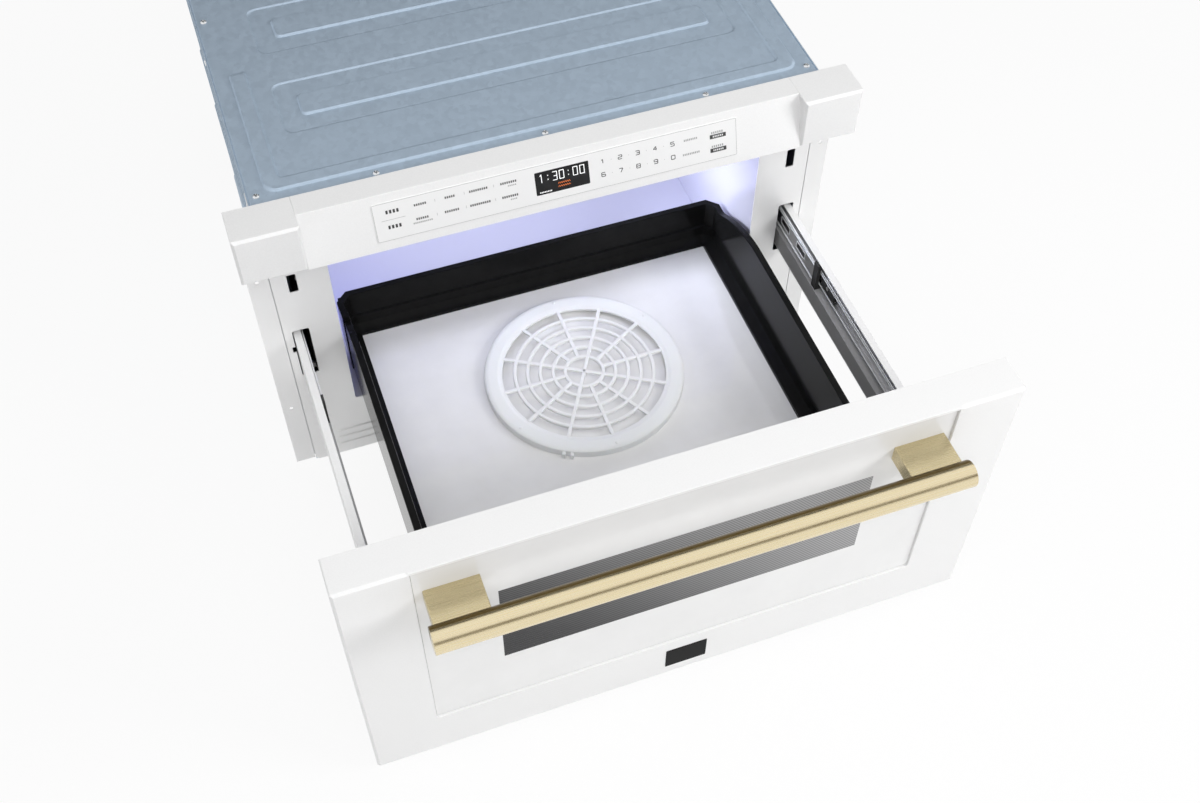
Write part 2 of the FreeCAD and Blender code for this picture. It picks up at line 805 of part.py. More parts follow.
def stirrer():
    """Motor above the oven roof and the slotted blade it turns under the roof."""
    at = ("0", "stirrer_y")
    can = rod("stirrer_can", "z", at, "can_radius", ("mouth_high + gauge", "mouth_high + can_tall"))
    bore = rod("stirrer_bearing", "z", at, "stirrer_shaft + fit",
               ("mouth_high", "mouth_high + shaft_deep + 1"))
    node("stirrer_motor", cut("stirrer_can_cut", can, bore))
    disc = rod("blade_disc", "z", at, "stirrer_reach", ("stirrer_low", "stirrer_high"))
    windows = []
    for turn in range(4):
        angle = 90 * turn + 45
        away = ("blade_spread * cos(%d deg)" % angle, "stirrer_y + blade_spread * sin(%d deg)" % angle)
        windows.append(rod("blade_gap_%d" % turn, "z", away, "blade_window",
                           ("stirrer_low - 1", "stirrer_high + 1")))
    shaft = rod("blade_shaft", "z", at, "stirrer_shaft", ("stirrer_low", "mouth_high + shaft_deep"))
    node("stirrer_blade", cut("blade_cut", fuse("blade_whole", disc, shaft), *windows))


def microwave_source():
    """Wave guide on the oven roof, with the magnetron whose antenna reaches into it."""
    roof = "mouth_high + gauge"
    middle = "(guide_front + guide_back) / 2"
    tube = block("guide_outer", ("guide_left", "guide_right"), ("guide_front", "guide_back"),
                 (roof, "guide_top"))
    bore = block("guide_inner", ("guide_left + guide_wall", "guide_right - guide_wall"),
                 ("guide_front + guide_wall", "guide_back - guide_wall"),
                 (roof + " - 1", "guide_top - guide_wall"))
    stem_at = (middle, roof + " + antenna_rise")
    stem = rod("antenna_hole", "x", stem_at, "antenna_bore", about("guide_right", "overrun"))
    node("wave_guide", cut("guide_cut", tube, bore, stem))
    inside = ("guide_right + yoke_wall", "guide_right + magnetron_width - yoke_wall")
    height = (roof + " + yoke_sill", "magnetron_high - yoke_sill")
    yoke = block("yoke", ("guide_right", "guide_right + magnetron_width"), about(middle, "yoke_half"),
                 (roof, "magnetron_high"))
    throat = block("yoke_space", inside, about(middle, "yoke_half + 1"), height)
    fins = []
    for step in range(7):
        start = "guide_right + fin_first + %d * fin_pitch" % step
        fins.append(block("fin_%d" % step, (start, start + " + fin_thick"), about(middle, "fin_half"), height))
    anode = rod("anode", "x", (middle, roof + " + anode_rise"), "anode_radius", inside)
    antenna = rod("antenna", "x", stem_at, "antenna_radius",
                  ("guide_right - antenna_long", "guide_right + 1"))
    node("magnetron", fuse("magnetron_whole", cut("yoke_cut", yoke, throat), anode, antenna, *fins))


def power_pieces():
    """Transformer, capacitor with its two tabs, and the diode that lies on the capacitor."""
    core = block("core", ("core_left", "core_right"), ("-core_reach", "core_reach"), ("gauge", "core_top"))
    coil = block("coil", ("coil_left", "coil_right"), ("-coil_reach", "coil_reach"),
                 ("coil_low", "coil_high"))
    node("power_transformer", fuse("transformer_whole", core, coil))
    can = block("capacitor_can", ("cell_left", "cell_right"), ("cell_front", "cell_back"),
                ("gauge", "cell_top"))
    cap = block("capacitor_cap", ("cell_left + cap_inset", "cell_right - cap_inset"),
                ("cell_back", "cell_back + cap_long"), ("cap_low", "cap_high"))
    tabs = []
    for step in range(2):
        start = "cell_back + tab_thick + %d * tab_pitch" % step
        tabs.append(block("capacitor_tab_%d" % step, ("cell_left + tab_inset", "cell_right - tab_inset"),
                          (start, start + " + tab_thick"), ("tab_low", "tab_high")))
    node("power_capacitor", fuse("capacitor_whole", can, cap, *tabs))
    node("power_diode", rod("diode_body", "y", ("(cell_left + cell_right) / 2", "cell_top + diode_radius"),
                            "diode_radius", ("diode_front", "diode_back")))


def fan():
    """Blower in the lower bay: housing with an inlet, motor and a bladed wheel."""
    at = ("fan_x", "fan_z")
    reach = "fan_radius + fan_margin"
    shell = block("fan_outer", about("fan_x", reach), ("fan_y", "cab_back - gauge"),
                  ("gauge", "fan_z + " + reach))
    bore = rod("fan_bore", "y", at, "fan_radius + fan_gap", ("fan_y + fan_wall", "cab_back"))
    inlet = rod("fan_inlet", "y", at, "fan_mouth", about("fan_y", "overrun"))
    node("fan_housing", cut("fan_shell", shell, bore, inlet))
    height = about("fan_z", "fan_arm_half")
    arms = []
    for near, far in (("fan_arm", "fan_tie"), ("-fan_tie", "-fan_arm")):
        arms.append(block("fan_arm_%d" % len(arms), ("fan_x + " + near, "fan_x + " + far),
                          ("fan_can_back", "fan_y"), height))
    can = rod("fan_can_body", "y", at, "fan_can", ("fan_can_front", "fan_can_back"))
    tie = block("fan_tie_bar", about("fan_x", "fan_tie"), ("fan_tie_front", "fan_can_back"), height)
    bearing = rod("fan_bearing_hole", "y", at, "fan_shaft + fit", ("fan_bearing", "fan_y"))
    node("fan_motor", cut("fan_motor_cut", fuse("fan_motor_whole", can, tie, *arms), bearing))
    tail = "fan_start + fan_wide"
    hub = rod("fan_hub_disc", "y", at, "fan_hub", ("fan_start", tail))
    plate = rod("fan_back_plate", "y", at, "fan_radius", (tail + " - fan_plate", tail))
    shaft = rod("fan_axle", "y", at, "fan_shaft", ("fan_bearing + 1", "fan_start + 1"))
    blades = []
    for turn in range(12):
        blade = DOC.addObject("Part::Box", "fan_blade_%d" % turn)
        spin = FreeCAD.Rotation(FreeCAD.Vector(0, 1, 0), 30 * turn)
        blade.Placement = FreeCAD.Placement(FreeCAD.Vector(), spin)
        bind(blade, Length="fan_radius - 1", Height="blade_thick", Width="fan_wide - 1")
        place(blade, "fan_x", "fan_start", "fan_z")
        blades.append(blade)
    node("fan_wheel", fuse("fan_wheel_whole", hub, plate, shaft, *blades))


def small_root_pieces():
    """Supply inlet box, latch switches and the brackets that carry the fixed slides."""
    box = block("inlet_box", ("inlet_box_left", "inlet_box_right"),
                ("cab_back - inlet_box_deep", "cab_back"), ("gauge", "inlet_box_high"))
    room = block("inlet_room", ("inlet_left", "inlet_right"), ("cab_back - inlet_room_deep", "cab_back + 1"),
                 ("inlet_low", "inlet_high"))
    node("power_inlet", cut("inlet_cut", box, room))
    case = block("switch_case", ("latch_inner - switch_far", "latch_inner - switch_near"),
                 ("cab_front + gauge", "cab_front + switch_deep"),
                 ("latch_low - switch_below", "latch_high + switch_above"))
    at = ("plunger_y", "plunger_z")
    bore = rod("switch_bore", "x", at, "plunger_radius + fit",
               ("latch_inner - plunger_room", "latch_inner - 1"))
    switch = cut("switch_cut", case, bore)
    node("latch_switches", group("switch_pair", [switch, mirrored("switch_mirror", switch)]))
    plunger = rod("plunger", "x", at, "plunger_radius",
                  ("latch_inner - plunger_back", "latch_inner + plunger_tip"))
    node("switch_plunger_right", plunger)
    node("switch_plunger_left", mirrored("plunger_mirror", plunger))
    wall = "mouth_half + gauge"
    low, high = "slide_z - bracket_half", "slide_z + bracket_half"
    outline = [(wall, low), ("slide_web", low), ("slide_web", high), (wall, high),
               (wall, high + " - bracket_wall"), ("slide_web - bracket_wall", high + " - bracket_wall"),
               ("slide_web - bracket_wall", low + " + bracket_wall"), (wall, low + " + bracket_wall")]
    right = profile("slide_bracket", "XZ_Plane", [outline], ("outer_front", "outer_back"))
    node("slide_brackets", group("bracket_pair", [right, mirrored("bracket_mirror", right)]))


def channel(name, web, lip, height, span, wall="slide_wall"):
    """C-shaped rolled slide member; the web may be on either side of its lips."""
    turn = "+" if value_of(lip) > value_of(web) else "-"
    inside = "%s %s %s" % (web, turn, wall)
    low, high = "slide_z - %s" % height, "slide_z + %s" % height
    outline = [(web, low), (lip, low), (lip, low + " + " + wall), (inside, low + " + " + wall),
               (inside, high + " - " + wall), (lip, high + " - " + wall), (lip, high), (web, high)]
    return profile(name, "XZ_Plane", [outline], span)


def slides():
    """Fixed, middle and drawer members of the ball slides, with bumper and release lever."""
    fixed = channel("fixed_member", "slide_web", "outer_lip", "outer_height", ("outer_front", "outer_back"))
    middle = channel("middle_member", "middle_web", "middle_lip", "middle_height",
                     ("middle_front", "middle_back"))
    holes = []
    for step in range(7):
        start = "middle_front + hole_first + %d * hole_pitch" % step
        holes.append(block("middle_hole_%d" % step, ("middle_web - 1", "middle_web + slide_wall + 1"),
                           (start, start + " + hole_long"), about("slide_z", "hole_half")))
    middle = cut("middle_cut", middle, *holes)
    moving = channel("moving_member", "arm_inner", "inner_lip", "inner_height", ("door_rear", "arm_tail"))
    front = "middle_front - bumper_long"
    cap = block("bumper_block", ("slide_web + bumper_inset", "middle_lip"), (front, "middle_front"),
                about("slide_z", "outer_height"))
    gap = block("bumper_space", ("inner_lip - bumper_gap", "middle_lip + 1"),
                (front + " - 1", "middle_front + 1"), about("slide_z", "inner_height + bumper_gap"))
    bumper = cut("bumper_cut", cap, gap)
    blade = block("lever_blade", ("lever_thin", "lever_thick"), about("lever_y", "lever_half"),
                  about("slide_z", "lever_height"))
    at = ("lever_y", "slide_z")
    eye = rod("lever_eye", "x", at, "lever_pin + fit", ("lever_thin - 1", "lever_thick + 1"))
    lever = cut("lever_cut", blade, eye)
    pin = rod("lever_pin_rod", "x", at, "lever_pin", ("lever_thin - bumper_gap", "arm_inner - slide_wall"))
    moving = fuse("moving_pinned", moving, pin)
    node("slide_fixed_members", group("fixed_pair", [fixed, mirrored("fixed_mirror", fixed)]))
    node("slide_drawer_members", group("moving_pair", [moving, mirrored("moving_mirror", moving)]))
    for label, item in (("slide_middle", middle), ("slide_bumper", bumper), ("release_lever", lever)):
        node(label + "_right", item)
        node(label + "_left", mirrored(label + "_mirror", item))


# ---------------------------------------------------------------- drawer

def door():
    """Painted door shell with its glass and screen, inner panel and badge plate; gives the screw holes."""
    shell = block("door_outer", ("-door_half", "door_half"), ("door_front", "door_back"),
                  ("door_low", "door_high"))
    hollow = block("door_hollow", ("door_skin - door_half", "door_half - door_skin"),
                   ("door_front + door_skin", "door_back + 1"),
                   ("door_low + door_skin", "door_high - door_skin"))
    opening = rectangle(("-glass_half", "glass_half"), ("glass_low", "glass_high"))
    hole = profile("glass_hole", "XZ_Plane", [opening], ("door_front - 1", "door_front + door_skin + 1"))
    node("door_frame", cut("door_cut", shell, hollow, hole))
    face = "door_front + glass_sunk"
    behind = face + " + glass_thick"
    screw_holes = handle_screws(behind)
    glass = block("glass_plate", ("-glass_half", "glass_half"), (face, behind), ("glass_low", "glass_high"))
    node("door_glass", cut("glass_cut", glass, screw_holes))
    screen = block("screen_sheet", ("-window_half", "window_half"), (behind, behind + " + screen_thick"),
                   ("window_low", "window_high"))
    node("window_screen", screen)
    outer = block("core_outer", ("-core_half", "core_half"), (behind, "door_rear"), ("core_low", "core_high"))
    inner = block("core_inner", ("core_skin - core_half", "core_half - core_skin"),
                  (behind + " + core_skin", "door_rear - core_skin"),
                  ("core_low + core_skin", "core_high - core_skin"))
    window = block("core_window", ("-window_half", "window_half"), (behind + " - 1", "door_rear + 1"),
                   ("window_low", "window_high"))
    lid = block("core_lid", ("door_skin - door_half", "door_half - door_skin"),
                ("door_back - core_skin", "door_back"), ("door_low + door_skin", "door_high - door_skin"))
    node("door_inner_panel", cut("core_cut", fuse("core_whole", outer, lid), inner, window, screw_holes))
    badge = block("badge", ("badge_left", "badge_right"), ("door_front - badge_thick", "door_front"),
                  ("badge_low", "badge_high"))
    node("badge_plate", badge)
    return screw_holes


def door_seal():
    """Flat seal round the oven mouth, open where the arms and the latch hooks leave the door."""
    ring = block("seal_outer", ("seal_margin - core_half", "core_half - seal_margin"),
                 ("door_rear", "door_rear + seal_thick"),
                 ("mouth_low - seal_below", "mouth_high + seal_above"))
    edge = "seal_margin + seal_wide"
    space = block("seal_inner", (edge + " - core_half", "core_half - (%s)" % edge),
                  ("door_rear - 1", "door_rear + seal_thick + 1"),
                  ("mouth_low - seal_below + seal_wide", "mouth_high + seal_above - seal_wide"))
    through = ("door_rear - 1", "door_rear + seal_thick + 1")
    heights = (("arm_low - seal_clear", "arm_high + seal_clear"), ("latch_low", "latch_high - nose_reach"))
    gaps = []
    for across in (("-door_half", "-tray_outer"), ("tray_outer", "door_half")):
        for height in heights:
            gaps.append(block("seal_gap_%d" % len(gaps), across, through, height))
    node("door_seal", cut("seal_cut", ring, space, *gaps))


def latch_hooks():
    """Hooks on the back of the door that enter the latch holes."""
    hooks = []
    for low, high in (("latch_inner + hook_side", "latch_outer - hook_side"),
                      ("hook_side - latch_outer", "-latch_inner - hook_side")):
        shank = block("hook_shank", (low, high), ("door_rear", "door_rear + hook_long"),
                      ("hook_low", "hook_high"))
        nose = block("hook_nose", (low, high), ("door_rear + nose_start", "door_rear + hook_long"),
                     ("hook_low - nose_reach", "hook_high + nose_reach"))
        hooks.append(fuse("hook", shank, nose))
    node("latch_hooks", group("hook_pair", hooks))


def handle_screws(behind):
    """Two screws that run from inside the door through the glass into the posts, and their holes."""
    screws = []
    holes = []
    seat = behind + " + core_skin"
    for side in (-1, 1):
        at = ("%d * (post_inner + post_outer) / 2" % side, "bar_z")
        shank = rod("post_shank_%d" % side, "y", at, "post_screw", ("bar_y + post_grip", seat))
        head = rod("post_head_%d" % side, "y", at, "2 * post_screw", (seat, seat + " + post_head"))
        screws.append(fuse("post_screw_%d" % side, shank, head))
        holes.append(rod("post_hole_%d" % side, "y", at, "post_screw + fit", ("bar_y", seat)))
    node("handle_screws", group("post_screws", screws))
    return fuse("post_holes", *holes)


def handle(screw_holes):
    """Tubular bar with chamfered ends on two square posts, held by screws from inside."""
    bar = DOC.addObject("Part::Chamfer", "bar_chamfer")
    bar.Base = rod("bar_round", "x", ("bar_y", "bar_z"), "bar_radius", ("-bar_half", "bar_half"))
    DOC.recompute()
    rims = [number for number, edge in enumerate(bar.Base.Shape.Edges, start=1)
            if isinstance(edge.Curve, Part.Circle)]
    cut_back = DIMENSIONS["bar_chamfer"]
    bar.Edges = [(number, cut_back, cut_back) for number in rims]
    tube = rod("bar_bore", "x", ("bar_y", "bar_z"), "bar_radius - bar_skin",
               ("bar_skin - bar_half", "bar_half - bar_skin"))
    post = block("post_block", ("post_inner", "post_outer"), ("bar_y", "door_front + glass_sunk"),
                 ("post_low", "post_high"))
    bite = rod("post_bite", "x", ("bar_y", "bar_z"), "bar_radius", ("-bar_half", "bar_half"))
    right = cut("post_cut", post, bite, screw_holes)
    node("handle_bar", cut("bar_cut", bar, tube, screw_holes))
    node("handle_posts", group("post_pair", [right, mirrored("post_mirror", right)]))


def tray():
    """Black tray with a sloping rear corner, and the pale floor plate laid in it."""
    outline = [("door_rear", "tray_low"), ("tray_tail", "tray_low"), ("tray_tail", "tray_tail_top")]
    steps = 10
    for step in range(steps, -1, -1):
        along = "fall_start + (fall_end - fall_start) * %d / %d" % (step, steps)
        share = "(1 + cos(180 deg * %d / %d)) / 2" % (step, steps)
        outline.append((along, "tray_tail_top + (tray_top - tray_tail_top) * " + share))
    outline.append(("door_rear", "tray_top"))
    side_view = profile("tray_side", "YZ_Plane", [outline], ("-tray_outer", "tray_outer"))
    plan = rectangle(("-tray_outer", "tray_outer"), ("door_rear", "tray_tail"))
    plan_view = profile("tray_plan", "XY_Plane", [plan], ("tray_low", "tray_top"), ("tray_corner", plan[2:]))
    solid = DOC.addObject("Part::MultiCommon", "tray_solid")
    solid.Shapes = [side_view, plan_view]
    room = rectangle(("-tray_inner", "tray_inner"), ("door_rear - 1", "tray_back_inner"))
    well = profile("tray_well", "XY_Plane", [room], ("tray_ledge", "tray_top + 1"),
                   ("tray_corner - tray_outer + tray_inner", room[2:]))
    seat = block("floor_seat", ("-floor_half", "floor_half"), ("door_rear - 1", "floor_tail"),
                 ("tray_seat", "tray_ledge + 1"))
    node("tray_body", cut("tray_cut", solid, well, seat))
    node("tray_floor", block("floor_plate", ("-floor_half", "floor_half"), ("door_rear", "floor_tail"),
                             ("tray_seat", "tray_floor")))


def round_rack():
    """Round grille: a raised rim, five rings and twelve spokes, four of which reach the middle."""
    at = ("rack_x", "rack_y")
    top = "rack_high - grille_drop"
    rim = cut("rim_ring", rod("rim_disc", "z", at, "rack_radius", ("rack_low", "rack_high")),
              rod("rim_hole", "z", at, "rack_opening", ("rack_low - 1", "rack_high + 1")))
    rings = []
    for step in range(5):
        middle = "ring_first + %d * ring_pitch" % step
        disc = rod("ring_disc_%d" % step, "z", at, middle + " + ring_width / 2", ("grille_low", top))
        hole = rod("ring_hole_%d" % step, "z", at, middle + " - ring_width / 2",
                   ("grille_low - 1", "rack_high"))
        rings.append(cut("ring_%d" % step, disc, hole))
    spokes = []
    for turn in range(12):
        spoke = DOC.addObject("Part::Box", "spoke_%d" % turn)
        spin = FreeCAD.Rotation(FreeCAD.Vector(0, 0, 1), 30 * turn)
        start = 0 if turn % 3 == 2 else DIMENSIONS["ring_first"]
        away = spin.multVec(FreeCAD.Vector(start, -DIMENSIONS["spoke_width"] / 2, 0))
        spoke.Placement = FreeCAD.Placement(FreeCAD.Vector(), spin)
        bind(spoke, Length="rack_opening + spoke_sink - %d" % start, Width="spoke_width",
             Height=top + " - grille_low")
        place(spoke, "rack_x + %g" % away.x, "rack_y + %g" % away.y, "grille_low")
        spokes.append(spoke)
    node("round_rack", fuse("rack_whole", rim, *rings, *spokes))


def arms():
    """White arms that carry the door, each with a lower bar; the left bar is toothed below."""
    outline = [("arm_wall", "arm_low"), ("arm_wall", "arm_high"), ("arm_flange", "arm_high"),
               ("arm_flange", "arm_high - gauge"), ("arm_inner", "arm_high - gauge"),
               ("arm_inner", "arm_low")]
    span = ("door_rear", "arm_tail")
    right = profile("arm_fold", "XZ_Plane", [outline], span)
    node("arm_right", right)
    node("arm_left", mirrored("arm_mirror", right))
    node("arm_bar_right", block("plain_bar", ("bar_side", "arm_inner"), span, ("bar_bottom", "bar_top")))
    node("rack_bar_left", toothed_bar())


# Gear teeth: flank slope of a 20 degree tooth, depth of a root below the pitch line and height of the wheel.
FLANK = "tan(20 deg)"
ROOT_DEPTH = "1.25 * module_size"
PITCH = "pi * module_size"
WHEEL_RADIUS = "pinion_teeth * module_size / 2"
WHEEL_Z = "bar_bottom + module_size - pinion_teeth * module_size / 2"


def toothed_bar():
    """Bar with a straight row of gear teeth cut into its underside."""
    body = DOC.addObject("PartDesign::Body", "toothed_bar")
    sketch = sketch_on(body, "YZ_Plane", "bar_sketch", "-arm_inner")
    draw_loop(sketch, rectangle(("door_rear", "arm_tail"), ("bar_bottom", "bar_top")))
    pad = body.newObject("PartDesign::Pad", "bar_pad")
    pad.Profile = sketch
    bind(pad, Length="arm_inner - bar_side")
    DOC.recompute()
    first = "pinion_y + 2 * %s" % PITCH
    below = "(%s / 4 + (module_size + 1) * %s)" % (PITCH, FLANK)
    root = "(%s / 4 - %s * %s)" % (PITCH, ROOT_DEPTH, FLANK)
    foot, roof = "bar_bottom - 1", "bar_bottom + module_size + %s" % ROOT_DEPTH
    gap = sketch_on(body, "YZ_Plane", "gap_sketch", "-arm_inner")
    draw_loop(gap, [("%s - %s" % (first, below), foot), ("%s + %s" % (first, below), foot),
                    ("%s + %s" % (first, root), roof), ("%s - %s" % (first, root), roof)])
    pocket = body.newObject("PartDesign::Pocket", "gap_pocket")
    pocket.Profile = gap
    pocket.Type = 1
    pocket.Reversed = True
    DOC.recompute()
    row = body.newObject("PartDesign::LinearPattern", "gap_row")
    row.Originals = [pocket]
    row.Direction = (gap, ["H_Axis"])
    row.Reversed = True
    count = int((value_of(first) - value_of("door_rear")) / value_of(PITCH))
    row.Occurrences = count
    bind(row, Length="%d * %s" % (count - 1, PITCH))
    body.Tip = row
    return body


def tooth(turn, angle, width):
    """One tapered tooth of the pinion: its outline turned to its angle."""
    root = value_of("%s - %s" % (WHEEL_RADIUS, ROOT_DEPTH))
    tip = value_of(WHEEL_RADIUS + " + module_size - tooth_short")
    steps = [(root - DIMENSIONS["tooth_sink"], DIMENSIONS["tooth_foot"]),
             (root + DIMENSIONS["tooth_rise"], DIMENSIONS["tooth_middle"]), (tip, DIMENSIONS["tooth_tip"])]
    sides = steps + [(radius, -half) for radius, half in reversed(steps)]
    outline = []
    for radius, half in sides:
        u = radius * math.cos(angle) - half * math.sin(angle)
        v = radius * math.sin(angle) + half * math.cos(angle)
        outline.append(("pinion_y + %.6f" % u, "%s + %.6f" % (WHEEL_Z, v)))
    return profile("tooth_%d" % turn, "YZ_Plane", [outline], width)


def drive():
    """Pinion under the toothed bar, made of a root disc, tapered teeth and a shaft, and its geared motor."""
    at = ("pinion_y", WHEEL_Z)
    width = ("pinion_inset - arm_inner", "-bar_side - pinion_inset")
    disc = rod("pinion_disc", "x", at, "%s - %s" % (WHEEL_RADIUS, ROOT_DEPTH), width)
    count = DIMENSIONS["pinion_teeth"]
    teeth = [tooth(turn, math.radians(90 + 360 / count * turn), width) for turn in range(count)]
    shaft = rod("gear_shaft", "x", at, "pinion_axle", ("-bar_side - 2", "1 - motor_outer"))
    node("drive_pinion", fuse("pinion_whole", disc, *teeth, shaft))
    case = block("gear_case", ("-motor_outer", "-motor_inner"), ("case_front", "case_back"),
                 (WHEEL_Z + " - case_drop", WHEEL_Z + " + case_rise"))
    bore = rod("gear_bore", "x", at, "pinion_axle + fit", ("-motor_outer - 1", "pinion_axle - motor_outer"))
    can = rod("motor_can", "y", ("-(motor_outer + motor_inner) / 2", WHEEL_Z), "motor_radius",
              ("case_back", "motor_back"))
    node("drive_motor", fuse("drive_whole", cut("case_cut", case, bore), can))


def build():
    """Make every sub-part."""
    fill_sheet()
    base_pan()
    screw_holes = cover_screws()
    side_panels(screw_holes)
    rear_panel()
    top_cover(screw_holes)
    face_plate(screw_holes)
    flanges()
    hood()
    cavity()
    stirrer()
    microwave_source()
    power_pieces()
    fan()
    small_root_pieces()
    slides()
    handle(door())
    door_seal()
    latch_hooks()
    tray()
    round_rack()
    arms()
    drive()
    DOC.recompute()


def faults():
    """Objects that failed to build and sub-parts whose shape is missing or not valid."""
    failed = [item.Name for item in DOC.Objects if {"Invalid", "Error"} & set(item.State)]
    for item in NODES:
        shape = item.Shape
        if shape.isNull() or not shape.isValid() or not shape.Solids:
            failed.append(item.Label)
    return failed


def write():
    """One file for each sub-part, named for its label."""
    os.makedirs("parts", exist_ok=True)
    for item in NODES:
        item.Shape.exportStep("parts/%s.step" % item.Label)


build()
wrong = faults()
if wrong:
    raise SystemExit("not built: " + ", ".join(wrong))
write()
for item in NODES:
    box = item.Shape.BoundBox
    edges = (box.XMin, box.XMax, box.YMin, box.YMax, box.ZMin, box.ZMax)
    print("%-24s %d %8.1f cm3  %s" % (item.Label, len(item.Shape.Solids), item.Shape.Volume / 1000,
                                     " ".join("%.1f" % edge for edge in edges)))
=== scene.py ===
"""A microwave drawer, open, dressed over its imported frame. Shapes are written in millimetres and turned to metres at
the end."""
import json

import bmesh
import bpy
import numpy as np
from mathutils import Matrix, Vector


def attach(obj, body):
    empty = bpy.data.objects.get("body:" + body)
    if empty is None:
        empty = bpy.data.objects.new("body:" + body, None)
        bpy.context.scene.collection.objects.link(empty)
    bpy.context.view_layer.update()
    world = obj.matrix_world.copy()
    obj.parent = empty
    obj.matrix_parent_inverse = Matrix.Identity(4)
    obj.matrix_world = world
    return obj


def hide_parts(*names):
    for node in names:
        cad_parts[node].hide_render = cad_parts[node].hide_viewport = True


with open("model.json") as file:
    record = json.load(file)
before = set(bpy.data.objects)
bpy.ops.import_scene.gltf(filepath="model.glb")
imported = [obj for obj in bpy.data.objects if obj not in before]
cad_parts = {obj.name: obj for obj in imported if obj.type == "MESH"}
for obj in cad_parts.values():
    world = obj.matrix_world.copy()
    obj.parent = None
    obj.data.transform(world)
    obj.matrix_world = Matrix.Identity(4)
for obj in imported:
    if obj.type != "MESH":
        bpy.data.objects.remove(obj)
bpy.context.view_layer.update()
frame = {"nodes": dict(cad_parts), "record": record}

MM = 0.001
QUARTER = np.pi / 2
SHARP_EDGE = 32
PLANE = {"x": (1, 2, 0), "y": (0, 2, 1), "z": (0, 1, 2)}

# ---------------------------------------------------------------- shapes


def on(axis, loop, level):
    """A flat loop set at a level on an axis: its two numbers fill the other two axes, in order."""
    across, up, along = PLANE[axis]
    points = np.empty(loop.shape[:-1] + (3,))
    points[..., across] = loop[..., 0]
    points[..., up] = loop[..., 1]
    points[..., along] = level
    return points


def skin(grid, around=True, along=False, ends=True):
    """Quads between neighbours of a grid of points. Rows join up where around is set, the last row meets the first
    where along is, and open ends get a flat face."""
    rows, count = grid.shape[:2]
    row, column = np.meshgrid(np.arange(rows if along else rows - 1),
                              np.arange(count if around else count - 1), indexing="ij")
    after, beside = (row + 1) % rows, (column + 1) % count
    quads = np.stack([row * count + column, row * count + beside,
                      after * count + beside, after * count + column], axis=-1)
    faces = quads.reshape(-1, 4).tolist()
    if ends and around and not along:
        faces += [list(range(count)), list(range((rows - 1) * count, rows * count))]
    return grid.reshape(-1, 3), faces


def together(*shapes):
    """Several shapes as one, the faces numbered on from shape to shape."""
    starts = np.cumsum([0] + [len(points) for points, _ in shapes[:-1]])
    faces = [[corner + int(start) for corner in face]
             for start, (_, polygons) in zip(starts, shapes) for face in polygons]
    return np.concatenate([points for points, _ in shapes]), faces


def flipped(shape):
    """The same shape on the other side of the middle plane: x changes sign."""
    points, faces = shape
    return points * (-1, 1, 1), [face[::-1] for face in faces]


def paired(shape):
    """A shape and the same on the other side of the middle plane."""
    return together(shape, flipped(shape))


def rounded(u, v, radius=1.0, inset=0.0, steps=4):
    """A rectangle u by v, drawn in by the inset, with a quarter circle at each corner: centre plus radius times cosine
    and sine."""
    radii = np.maximum(np.broadcast_to(radius, 4) - inset, 0.02)[:, None, None]
    angle = (np.arange(4)[:, None] + np.linspace(0, 1, steps + 1)) * QUARTER
    arc = np.stack([np.cos(angle), np.sin(angle)], -1) * radii
    signs = np.array([[1, 1], [-1, 1], [-1, -1], [1, -1]])[:, None, :]
    low, high = np.array([u[0], v[0]]) + inset, np.array([u[1], v[1]]) - inset
    return (np.where(signs > 0, high - radii, low + radii) + arc).reshape(-1, 2)


def eased(radius, steps=3):
    """An edge as insets and rises: a quarter circle of the radius."""
    turn = np.linspace(0, QUARTER, steps)
    return np.stack([radius * (1 - np.sin(turn)), radius * (1 - np.cos(turn))], -1)


def slab(axis, u, v, w, radius=1.0, edge=0.6, near=None):
    """A plate: a rounded rectangle carried along the axis, drawn in at both ends by the insets and rises of its edge;
    near is another edge for the low end."""
    far = eased(edge)
    near = far if near is None else np.asarray(near)
    levels = np.concatenate([w[0] + near[:, 1], (w[1] - far[:, 1])[::-1]])
    insets = np.concatenate([near[:, 0], far[::-1, 0]])
    loops = np.stack([rounded(u, v, radius, each) for each in insets])
    return skin(on(axis, loops, levels[:, None]))


def framed(axis, outer, inner, w, edge=0.3):
    """A plate with a hole: rings of two rounded rectangles, each of u, v and radius, go round its outside, over its
    face, through the hole and back."""
    steps = [(outer, edge, w[0]), (outer, 0, w[0] + edge), (outer, 0, w[1] - edge), (outer, edge, w[1]),
             (inner, -edge, w[1]), (inner, 0, w[1] - edge), (inner, 0, w[0] + edge), (inner, -edge, w[0])]
    loops = np.stack([on(axis, rounded(*outline, inset), level) for outline, inset, level in steps])
    return skin(loops, along=True)


def turned(axis, centre, profile, count=48, ring=False):
    """A profile of radii and levels turned about an axis through a centre: centre plus radius times cosine and sine."""
    profile = np.asarray(profile, float)
    angle = np.linspace(0, 4 * QUARTER, count, endpoint=False)
    circle = np.stack([np.cos(angle), np.sin(angle)], -1)
    loops = np.asarray(centre) + profile[:, :1, None] * circle
    return skin(on(axis, loops, profile[:, 1:]), along=ring, ends=not ring)


def sideways(path, closed):
    """The sideways direction at each point of a flat path: the mean of the normals of its two runs, lengthened so that
    a band keeps its width round a corner."""
    ahead = np.roll(path, -1, 0) - path
    if not closed:
        ahead[-1] = ahead[-2]
    ahead /= np.linalg.norm(ahead, axis=1)[:, None]
    behind = np.roll(ahead, 1, 0)
    if not closed:
        behind[0] = ahead[0]
    both = (ahead + behind)[:, ::-1] * (-1, 1)
    return both * 2 / (both ** 2).sum(1)[:, None]


